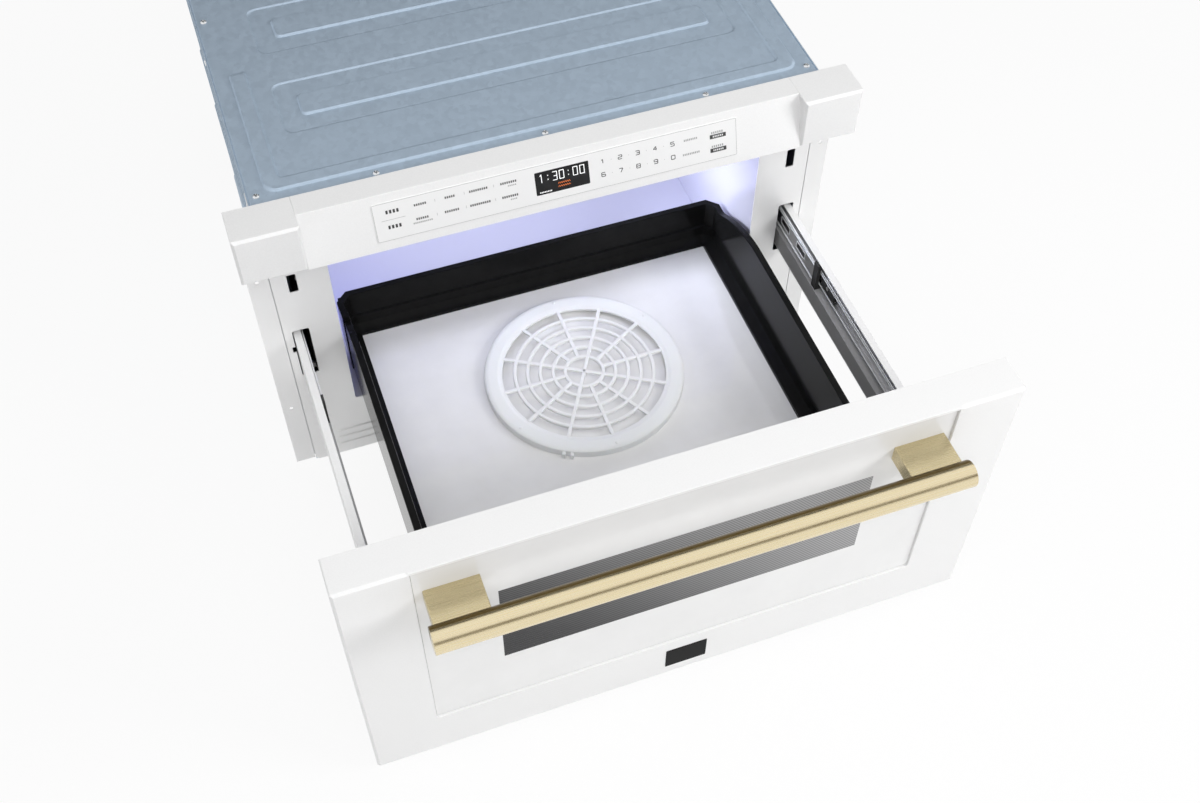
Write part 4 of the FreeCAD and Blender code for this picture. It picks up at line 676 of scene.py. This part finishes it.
def cover_height(x, y):
    """The cover's height: a raised rib round the front and part of each side, and three sunk moats, each round a raised
    middle."""
    rib = gate(inside(x, y, RIB_OUTER, 15), 2.6) * gate(-inside(x, y, RIB_INNER, 6), 3.4) * gate(RIB_END - y, 8)
    height = COVER_FLAT + RIB_RISE * rib
    for front in PANEL_FRONTS:
        moat = gate(inside(x, y, (-MOAT_HALF, MOAT_HALF, front, front + MOAT_LONG), 12), PRESS)
        middle = (-MIDDLE_HALF, MIDDLE_HALF, front + MIDDLE_NEAR, front + MIDDLE_FAR)
        height = height - MOAT_DEPTH * moat + MIDDLE_RISE * gate(inside(x, y, middle, 6), PRESS)
    return height


def close_to(stops, others):
    """Grid lines for a pressed sheet: 0.7 mm apart within 3 mm of a stop, 1.8 mm apart within 14 mm and 40 mm apart
    elsewhere."""
    stops = np.asarray(stops, float)[:, None]
    lines = np.concatenate([(stops + np.arange(-3, 3.1, 0.7)).ravel(), (stops + np.arange(-14, 14.1, 1.8)).ravel(),
                            np.arange(min(others), max(others), 40), others])
    lines = np.unique(np.round(lines, 2))
    lines = lines[(lines >= min(others)) & (lines <= max(others))]
    return lines[np.concatenate([[True], np.diff(lines) > 0.3])]


def top_cover():
    """The cover sheet: one loop per depth, over the top along x and back along the underside, with the grid closer at
    the pressed lines. Its height falls 1.2 mm over both side edges."""
    half = close_to([MIDDLE_HALF, MOAT_HALF, RIB_INNER[1], RIB_OUTER[1]], [0, 346.5, 347.9, COVER_HALF])
    x = np.concatenate([-half[:0:-1], half])
    fronts = np.add.outer(PANEL_FRONTS, [0, MIDDLE_NEAR, MIDDLE_FAR, MOAT_LONG]).ravel()
    y = close_to([RIB_OUTER[2], RIB_INNER[2], RIB_END, *fronts],
                 [COVER_FRONT, COVER_FRONT + 0.5, COVER_FRONT + 1.5, COVER_BACK])
    grid_x, grid_y = np.meshgrid(x, y)
    height = cover_height(grid_x, grid_y) - 1.2 * gate(np.abs(grid_x) - COVER_EDGE, 1.6)
    top = np.stack([grid_x, grid_y, height], -1)
    under = np.stack(np.broadcast_arrays(np.array([[COVER_HALF, -COVER_HALF]]), y[:, None], COVER_LOW), -1)
    return skin(np.concatenate([top, under], axis=1))


SIDE_FACE, SIDE_PROUD, SIDE_SUNK, SCREW_FACE = 348.2, 349.8, 347.9, 349.7
LOUVRE_BANKS, LOUVRE_LOW, LOUVRE_PITCH = ((-190, -100), (80, 170)), 60, 14
skirt = slab("x", (-271, 279.5), (464, 478.6), (SIDE_FACE, SIDE_PROUD), 1.0, 0.4)
piece("cover_sheet", "cabinet", "galvanised_sheet", ["top_cover"], (together(top_cover(), paired(skirt)), GALVANISED))


def louvre(near, far, low):
    """A pressed louvre on the right side panel: a hood open below, whose reach from the panel falls to nothing towards
    both ends."""
    section = np.array([(0, 5.6), (1.8, 4.7), (2.8, 2.7), (3.0, 0), (2.4, 0), (0, 0.6)])
    share = np.array([0.05, 0.55, 0.9, 1, 1, 0.9, 0.55, 0.05])[:, None]
    y = np.array([near, near + 1.5, near + 4, near + 7, far - 7, far - 4, far - 1.5, far])
    across, up = section.T
    return skin(np.stack([SIDE_FACE + across * share, np.broadcast_to(y[:, None], (8, 6)),
                          low + up * (0.4 + 0.6 * share)], -1))


def side_louvres():
    """Two banks of six louvres over the slots of the side panel, two short pressed ribs between them and three long
    ones above."""
    parts = [louvre(near, far, LOUVRE_LOW + LOUVRE_PITCH * step) for near, far in LOUVRE_BANKS for step in range(6)]
    parts += [slab("x", (-70, 50), (low, low + 9), (SIDE_SUNK, SIDE_PROUD), 4.4, 1.4) for low in (90, 130)]
    parts += [slab("x", (-230, 240), (low, low + 12), (SIDE_SUNK, 350.2), 5.9, 1.7) for low in (200, 300, 400)]
    return together(*parts)


panel_dress = side_louvres()
piece("side_louvres", "cabinet", "galvanised_sheet", [], (paired(panel_dress), GALVANISED))


REAR_FLAT, REAR_HALF, REAR_LOW, REAR_TOP = 278.9, 347.1, 0.3, 476.2
# The outlet and the raised field 12 mm round it, and the notch for the supply inlet: left, right, low, high.
OUTLET, FIELD = (83, 157, 19, 91), (71, 169, 7, 103)
NOTCH_LEFT, NOTCH_RIGHT, NOTCH_TOP = -270.2, -209.8, 80.2
# The two pressed frames: left edges, width, width of the band, low and high.
FRAME_LEFTS, FRAME_WIDE, BAND, FRAME_LOW, FRAME_HIGH = (-310, 20), 290, 14, 190, 440


def rear_depth(x, z):
    """The rear sheet's outer face: flat, with two tall pressed frames, each a raised band between two rounded
    rectangles, and a low raised field round the outlet."""
    band = 0
    for left in FRAME_LEFTS:
        outer = gate(inside(x, z, (left, left + FRAME_WIDE, FRAME_LOW, FRAME_HIGH), 16), 2.6)
        opening = (left + BAND, left + FRAME_WIDE - BAND, FRAME_LOW + BAND, FRAME_HIGH - BAND)
        band = band + outer - gate(inside(x, z, opening, 9), 2.6)
    field = gate(inside(x, z, FIELD, 8), 2.6)
    return REAR_FLAT + 1.0 * band + 0.9 * field


def between(stops, ends):
    """Grid lines from end to end of a field, closer at the stops that lie in it."""
    return close_to([stop for stop in stops if ends[0] < stop < ends[1]] or ends[:1], ends)


def rear_field(x_ends, z_ends):
    """One rectangle of the rear sheet: the pressed face over a flat back 0.8 mm behind it, as one loop per height."""
    edges = np.add.outer(FRAME_LEFTS, (0, BAND, FRAME_WIDE - BAND, FRAME_WIDE)).ravel()
    x = between([*edges, *FIELD[:2]], x_ends)
    z = between([FRAME_LOW, FRAME_LOW + BAND, FRAME_HIGH - BAND, FRAME_HIGH, *FIELD[2:]], z_ends)
    grid_x, grid_z = np.meshgrid(x, z)
    face = np.stack([grid_x, rear_depth(grid_x, grid_z), grid_z], -1)
    back = np.stack(np.broadcast_arrays(np.array([[x_ends[1], x_ends[0]]]), REAR_FLAT - 0.8, z[:, None]), -1)
    return skin(np.concatenate([face, back], axis=1))


def rear_sheet():
    """The rear sheet in six fields round the outlet, with the notch for the supply inlet left open, and the outlet's
    nine slanted blades."""
    left, right, low, high = OUTLET
    fields = [((-REAR_HALF, REAR_HALF), (high, REAR_TOP)), ((-REAR_HALF, left), (NOTCH_TOP, high)),
              ((right, REAR_HALF), (REAR_LOW, high)), ((left, right), (REAR_LOW, low)),
              ((NOTCH_RIGHT, left), (REAR_LOW, NOTCH_TOP)), ((-REAR_HALF, NOTCH_LEFT), (REAR_LOW, NOTCH_TOP))]
    parts = [rear_field(*each) for each in fields]
    for step in range(9):
        top = high - 0.8 - 8 * step
        section = np.array([(1.0, -4.6), (1.0, -4.0), (-2.6, 0), (-3.2, -0.4)]) + (REAR_FLAT, top)
        parts.append(skin(on("x", np.stack([section, section]), np.array([[left - 1], [right + 1]]))))
    return together(*parts)


piece("rear_sheet_pressed", "cabinet", "galvanised_sheet", ["rear_panel"], (rear_sheet(), GALVANISED))


def screw_head(x, y, z, radius=4.2, rise=2.2):
    """A pan head on a polar grid: height is the rise times one less the fourth power of the radius, less a cross-shaped
    recess."""
    share, angle = np.meshgrid(np.linspace(0, 1, 15), np.linspace(0, 4 * QUARTER, 48, endpoint=False), indexing="ij")
    px, py = radius * share * np.cos(angle), radius * share * np.sin(angle)
    arm = np.minimum(gate(0.55 - np.abs(px), 0.4), gate(2.3 - np.abs(py), 0.5))
    other = np.minimum(gate(0.55 - np.abs(py), 0.4), gate(2.3 - np.abs(px), 0.5))
    height = 0.3 + (rise - 0.3) * (1 - share ** 4) - 1.3 * np.maximum(arm, other)
    dome = np.stack([x + px, y + py, z + height], -1)
    foot = dome[-1:] * (1, 1, 0) + (0, 0, z)
    return skin(np.concatenate([dome, foot]))


def side_screw(y, z):
    """A pan head on the right side: the head's height runs along x."""
    points, faces = screw_head(0, 0, 0, 3.6, 1.9)
    return np.stack([SCREW_FACE + points[:, 2], y + points[:, 1], z + points[:, 0]], -1), faces


SCREWS = [(x, -267.5) for x in (-202.4, 0, 202.4)]
SCREWS += [(side * 338.6, y) for side in (-1, 1) for y in (-259.5, 67.6, 268)]
piece("cover_screw_heads", "cabinet", "zinc_screw", ["cover_screws"],
      (together(*(screw_head(x, y, COVER_FLAT) for x, y in SCREWS)), SCREW))
side_screws = together(*(side_screw(y, 470.5) for y in (-262, 0, 262)))
piece("side_screw_heads", "cabinet", "zinc_screw", [], (paired(side_screws), SCREW))

# ---------------------------------------------------------------- tray

TRAY_HALF, TRAY_WALL, TRAY_BACK, TRAY_FRONT = 271.0, 9.0, -182.0, -697.7
TRAY_LOW, SIDE_TOP, BACK_TOP, LEDGE = 131.0, 248.0, 208.0, 133.9
FALL_START, FALL_LONG, GROOVE_START = -330, 115, -203


def tray_path():
    """The wall's middle line from the door, over the two cut back corners and to the door again, in steps of about 9
    mm."""
    middle = TRAY_HALF - TRAY_WALL / 2
    back = TRAY_BACK - TRAY_WALL / 2
    corners = np.array([(-middle, TRAY_FRONT), (-middle, back), (middle, back), (middle, TRAY_FRONT)])
    path = softened(corners, 12, steps=1)
    steps = [np.linspace(path[at], path[at + 1], 2 + int(np.linalg.norm(path[at + 1] - path[at]) / 9))[:-1]
             for at in range(len(path) - 1)]
    return np.concatenate(steps + [path[-1:]])


def tray_wall():
    """The wall: a section carried along its path. Its top falls from the side height to the back height by the 1.8th
    power of the share of the way, and the back has a pressed groove above the ledge."""
    path = tray_path()
    fall = np.clip((path[:, 1] - FALL_START) / FALL_LONG, 0, 1) ** 1.8
    top = SIDE_TOP - (SIDE_TOP - BACK_TOP) * fall
    back = gate(path[:, 1] - GROOVE_START, 6)
    side = sideways(path, False)
    half = TRAY_WALL / 2
    crown = np.array([(half, -1.6), (half - 0.5, -0.5), (half - 1.6, 0), (-half + 1.6, 0), (-half + 0.5, -0.5),
                      (-half, -1.6)])
    shelf = np.array([(-half, 169.2), (-half, 167.8), (-half, 166), (-half, 157), (-half - 1, 152.5), (-15, 146.6),
                      (-19, 145), (-19, TRAY_LOW), (half, TRAY_LOW)])
    press = np.array([0, 1.3, -1.8, -1.8, -1.8, 0, 0, 0, 0])
    across = np.concatenate([np.broadcast_to(crown[:, 0], (len(path), 6)), shelf[:, 0] + press * back[:, None]], axis=1)
    height = np.concatenate([crown[:, 1] + top[:, None], np.broadcast_to(shelf[:, 1], (len(path), len(shelf)))], axis=1)
    flat = path[:, None, :] + across[:, :, None] * side[:, None, :]
    return skin(on("z", flat, height))


def tray_tabs():
    """Three stepped tabs behind a cut corner, lower than the wall."""
    tabs = (((258.5, 268), (-194, -185), 202), ((262.5, 272.2), (-250, -239), 234), ((262.5, 270.8), (-231, -224), 221))
    return together(*(slab("z", x, y, (TRAY_LOW, top), 1.2, 0.6) for x, y, top in tabs))


piece("tray_wall", "drawer", "black_enamel", ["tray_body"], (tray_wall(), BLACK_ENAMEL),
      (together(slab("z", (-262, 262), (TRAY_FRONT, -190), (TRAY_LOW, LEDGE), 8, 0.3), flipped(tray_tabs())),
       BLACK_ENAMEL))
piece("tray_plate", "drawer", "glass_ceramic", ["tray_floor"],
      (slab("z", (-247.5, 247.5), (TRAY_FRONT, -198), (LEDGE, 140), 2, 0.5), CERAMIC))

# ---------------------------------------------------------------- rack

RACK_X, RACK_Y, RACK_LOW, RACK_HIGH, RACK_RADIUS, DIMPLE_REACH = 11.0, -370.0, 140.2, 152.0, 131.0, 123.5


def rack_ring(radius, width, low, high):
    """A flat ring with rounded upper edges: a closed section turned about the rack's axis."""
    inner, outer, round_off = radius - width / 2, radius + width / 2, min(0.9, width / 4)
    section = [(inner, low), (outer, low), (outer, high - round_off), (outer - round_off, high),
               (inner + round_off, high), (inner, high - round_off)]
    return turned("z", (RACK_X, RACK_Y), section, 96, ring=True)


def spun(shape, degrees):
    """A shape drawn along x, turned about the rack's axis: centre plus x and y times cosine and sine."""
    points, faces = shape
    cosine, sine = np.cos(np.radians(degrees)), np.sin(np.radians(degrees))
    x, y, z = points.T
    return np.stack([RACK_X + x * cosine - y * sine, RACK_Y + x * sine + y * cosine, z], -1), faces


def rack_spoke(degrees, start):
    """A spoke with rounded upper edges from a start radius to the rim."""
    return spun(slab("x", (-2.4, 2.4), (RACK_HIGH - 5, RACK_HIGH - 0.8), (start, 109), 0.9, 0.1), degrees)


def rack():
    """The rim with its skirt and inner lip, five rings, twelve spokes of which four meet in the middle, four dimples on
    the rim, and a clip of two prongs."""
    rim = [(107.5, 147), (107.5, 150.2), (109.2, 150.6), (111.5, 150.9), (112.6, 151.7), (115, RACK_HIGH),
           (124, RACK_HIGH), (128.6, 151.4),
           (130.6, 149.8), (RACK_RADIUS, 147.6), (RACK_RADIUS, RACK_LOW), (128.6, RACK_LOW), (128.4, 147), (113, 147.5)]
    parts = [turned("z", (RACK_X, RACK_Y), rim, 128, ring=True)]
    parts += [rack_ring(radius, 4.5, RACK_HIGH - 5, RACK_HIGH - 0.6) for radius in (25, 41, 58, 74.5, 91)]
    parts += [rack_spoke(30 * step, 0 if step % 3 == 2 else 25) for step in range(12)]
    for angle in np.radians((90, 30, -150, -90)):
        spot = (RACK_X + DIMPLE_REACH * np.cos(angle), RACK_Y + DIMPLE_REACH * np.sin(angle))
        parts.append(turned("z", spot, [(2.4, 151.2), (2.2, 152.2), (1.5, 152.7), (0.5, 152.9)], 20))
    prong = slab("x", (-2.2, 2.2), (RACK_LOW, 148.5), (129, 135.5), 0.8, 0.4)
    parts += [spun(prong, degrees) for degrees in (-116, -120.5)]
    return together(*parts)


piece("rack_grille", "rack", "white_resin", ["round_rack"], (rack(), WHITE_PLASTIC))

# ---------------------------------------------------------------- arms and slides


def arm():
    """The arm's folded sheet: an upright wall with a turned-in flange at the top and at the bottom, carried along y."""
    section = softened([(337, 184), (337, 259.6), (327.5, 259.6), (327.5, 258.2), (335.6, 258.2), (335.6, 185.6),
                        (323.5, 185.6), (323.5, 184)], 0.5, closed=True)
    ends = np.array([[TRAY_FRONT], [-252.0]])
    return skin(on("y", np.stack([section, section]), ends))


piece("arm_sheet_right", "drawer", "white_enamel", ["arm_right"], (arm(), POWDER))
piece("arm_sheet_left", "drawer", "white_enamel", ["arm_left"], (flipped(arm()), POWDER))

MIDDLE_ENDS, DRAWER_ENDS = (-379.5, 19.5), (-697.4, -252.5)
HOLE_LONG, HOLE_PITCH, HOLE_Z, LIP_WIDE = 24, 48, (231, 241), 1.2


def lips(ends, x, levels, half_wide, half_high):
    """The rounded edges of a slide member, pale as a painted highlight: thin strips along y at their levels."""
    return together(*(slab("y", (x - half_wide, x + half_wide), (level - half_high, level + half_high), ends,
                           half_wide * 0.95, 0.2)
                      for level in levels))


def web_windows():
    """Dark plates sunk in the seven long holes of the middle member's web as painted shade, for the shadow seen through
    each hole, each within a rolled lip pale as a painted highlight.
    """
    dark, lip = [], []
    for near in range(-350, -40, HOLE_PITCH):
        hole = (near, near + HOLE_LONG)
        edge = ((hole[0] - LIP_WIDE, hole[1] + LIP_WIDE), (HOLE_Z[0] - LIP_WIDE, HOLE_Z[1] + LIP_WIDE), 1.4)
        dark.append(slab("x", hole, HOLE_Z, (326.7, 327.2), 0.5, 0.1))
        lip.append(framed("x", edge, (hole, HOLE_Z, 0.4), (325.6, 326.6), 0.25))
    return together(*dark), together(*lip)


middle_lips = lips(MIDDLE_ENDS, 326.0, (252.4, 248.0, 221.6), 1.2, 1.2)
# The dark plates in the web holes are painted shade.
hole_shade_plates, hole_lips = web_windows()
for side, turn_over in (("right", lambda shape: shape), ("left", flipped)):
    piece("slide_middle_trim_" + side, "middle_" + side, "slide_steel", [],
          (turn_over(together(middle_lips, hole_lips)), PAINTED_HIGHLIGHT_ZINC), (turn_over(hole_shade_plates), BLACK_PLASTIC))
drawer_lips = lips(DRAWER_ENDS, 329.55, (248.0, 243.6, 224.6), 0.7, 1.1)
piece("slide_drawer_trim", "drawer", "slide_steel", [], (paired(drawer_lips), PAINTED_HIGHLIGHT_ZINC))

# ---------------------------------------------------------------- stage, light and camera


def sheet(name, corners, material):
    """One flat sheet of four corners, in metres."""
    mesh = bpy.data.meshes.new(name)
    mesh.from_pydata(corners, [], [(0, 1, 2, 3)])
    mesh.materials.append(material)
    return placed(name, mesh)


def stage_floor():
    """The plain floor: pale, lightened to near white for rays from the lens, from mirrors and through glass, so that a
    soft shadow stays near the object, and to full white from 4 m out."""
    made, tree, shader = started("studio_floor_paper", "#f2f2f2", 0.9)
    reach_out = add(tree, "VectorMath", {"operation": "LENGTH"}, {0: add(tree, "TexCoord").outputs["Object"]})
    fade = add(tree, "MapRange", {"From Min": 1.2, "From Max": 4.0, "To Min": 0.9, "To Max": 1.0},
               {"Value": reach_out.outputs["Value"]})
    share = add(tree, "Math", {"operation": "MULTIPLY"}, {0: plain_ray(tree), 1: fade.outputs["Result"]})
    glow = add(tree, "Emission", {"Color": (1, 1, 1, 1), "Strength": 1.0})
    both = add(tree, "MixShader", {}, {0: share.outputs[0], 1: shader.outputs[0], 2: glow.outputs[0]})
    tree.links.new(tree.nodes["Material Output"].inputs["Surface"], both.outputs[0])
    reach = 9.0
    signs = ((-1, -1), (1, -1), (1, 1), (-1, 1))
    floor = sheet("studio_floor", [(u * reach, v * reach, -0.001) for u, v in signs], made)


def studio_world():
    """White to the lens, in reflections and through glass, and a soft even light on everything else."""
    world = bpy.data.worlds.new("studio_world")
    bpy.context.scene.world = world
    world.use_nodes = True
    tree = world.node_tree
    strength = add(tree, "MapRange", {"To Min": AMBIENT, "To Max": 1.0}, {"Value": plain_ray(tree)})
    back = tree.nodes["Background"]
    back.inputs["Color"].default_value = (1, 1, 1, 1)
    tree.links.new(back.inputs["Strength"], strength.outputs["Result"])


def softbox(name, place, aim, size, power, spread, tint="#ffffff"):
    """A soft area lamp at a place in metres, turned to its aim, with its spread in degrees. Neither the lens nor a
    mirror sees it."""
    lamp = bpy.data.lights.new(name, "AREA")
    lamp.shape = "RECTANGLE"
    lamp.size, lamp.size_y = size
    lamp.energy = power
    lamp.color = colour(tint)[:3]
    lamp.spread = np.radians(spread)
    holder = placed(name, lamp)
    holder.location = place
    holder.visible_camera = False
    holder.visible_glossy = False
    holder.rotation_euler = (Vector(aim) - Vector(place)).to_track_quat("-Z", "Y").to_euler()


def flag(name, corners, shade):
    """A card of one even shade, seen in reflections only: it gives metal and gloss an edge."""
    made, _, _ = started(name, "#000000", 1.0, {"Emission Color": colour(shade), "Emission Strength": 1.0})
    card = sheet(name, corners, made)
    for kind in ("camera", "diffuse", "shadow", "transmission"):
        setattr(card, "visible_" + kind, False)


def set_camera():
    """The lens at the photograph's place: 42.68 mm on a 36 mm frame, turned by its three direction rows."""
    lens = bpy.data.cameras.new("camera")
    lens.lens, lens.sensor_width, lens.sensor_fit = 42.678, 36.0, "HORIZONTAL"
    lens.clip_end = 60
    camera = placed("camera", lens)
    right = Vector((0.94091949, -0.33858563, 0.00550356))
    up = Vector((0.26588198, 0.74874785, 0.60719308))
    back = Vector((-0.20970763, -0.5698565, 0.79453526))
    turn = Matrix((right, up, back)).transposed().to_4x4()
    camera.matrix_world = Matrix.Translation((-0.37127, -1.46984, 1.60771)) @ turn
    bpy.context.scene.camera = camera


# The share of the world's light that surfaces get.
AMBIENT = 0.21
# Name, place, aim, size, watts and spread of each lamp, and its tint where that isn't white.
LAMPS = [
    ("key_softbox", (2.2, -3.0, 1.3), (0, -0.45, 0.3), (1.4, 1.4), 2, 180),
    ("left_softbox", (-2.6, -2.2, 0.9), (0, -0.5, 0.3), (1.4, 1.4), 11, 180),
    ("lens_softbox", (-0.5, -1.9, 2.1), (0, -0.4, 0.2), (1.2, 1.2), 19, 180),
    ("right_softbox", (2.0, -1.9, 1.75), (0, -0.4, 0.2), (1.2, 1.2), 41, 180),
    ("top_softbox", (0.3, -0.6, 2.6), (0, -0.5, 0.2), (1.6, 1.6), 12, 180),
    ("back_softbox", (-1.4, 2.8, 1.2), (0, 0, 0.25), (1.4, 1.4), 26, 180),
    ("oven_lamp", (0.0, -0.04, 0.352), (0.0, -0.04, 0.0), (0.52, 0.16), 0.82, 180, "#eef2ff"),
    ("oven_wall_lamp", (0.0, -0.12, 0.345), (0.29, -0.21, 0.25), (0.12, 0.12), 0.38, 80, "#eef2ff"),
    ("oven_glow", (-0.27, -0.16, 0.2), (-0.27, 0.0, 0.15), (0.01, 0.1), 0.05, 180, "#8088ff"),
]

stage_floor()
studio_world()
for lamp in LAMPS:
    softbox(*lamp)
flag("far_side_card", [(-2.6, 4.6, 0.0), (6.0, 4.6, 0.0), (6.0, 3.1, 4.9), (-2.6, 3.1, 4.9)], "#1c1a16")
flag("lens_side_card", [(-2.2, -2.75, 1.05), (2.2, -2.75, 1.05), (2.2, -2.3, 1.7), (-2.2, -2.3, 1.7)], "#80786a")
set_camera()
bpy.context.scene.view_settings.view_transform = "Standard"
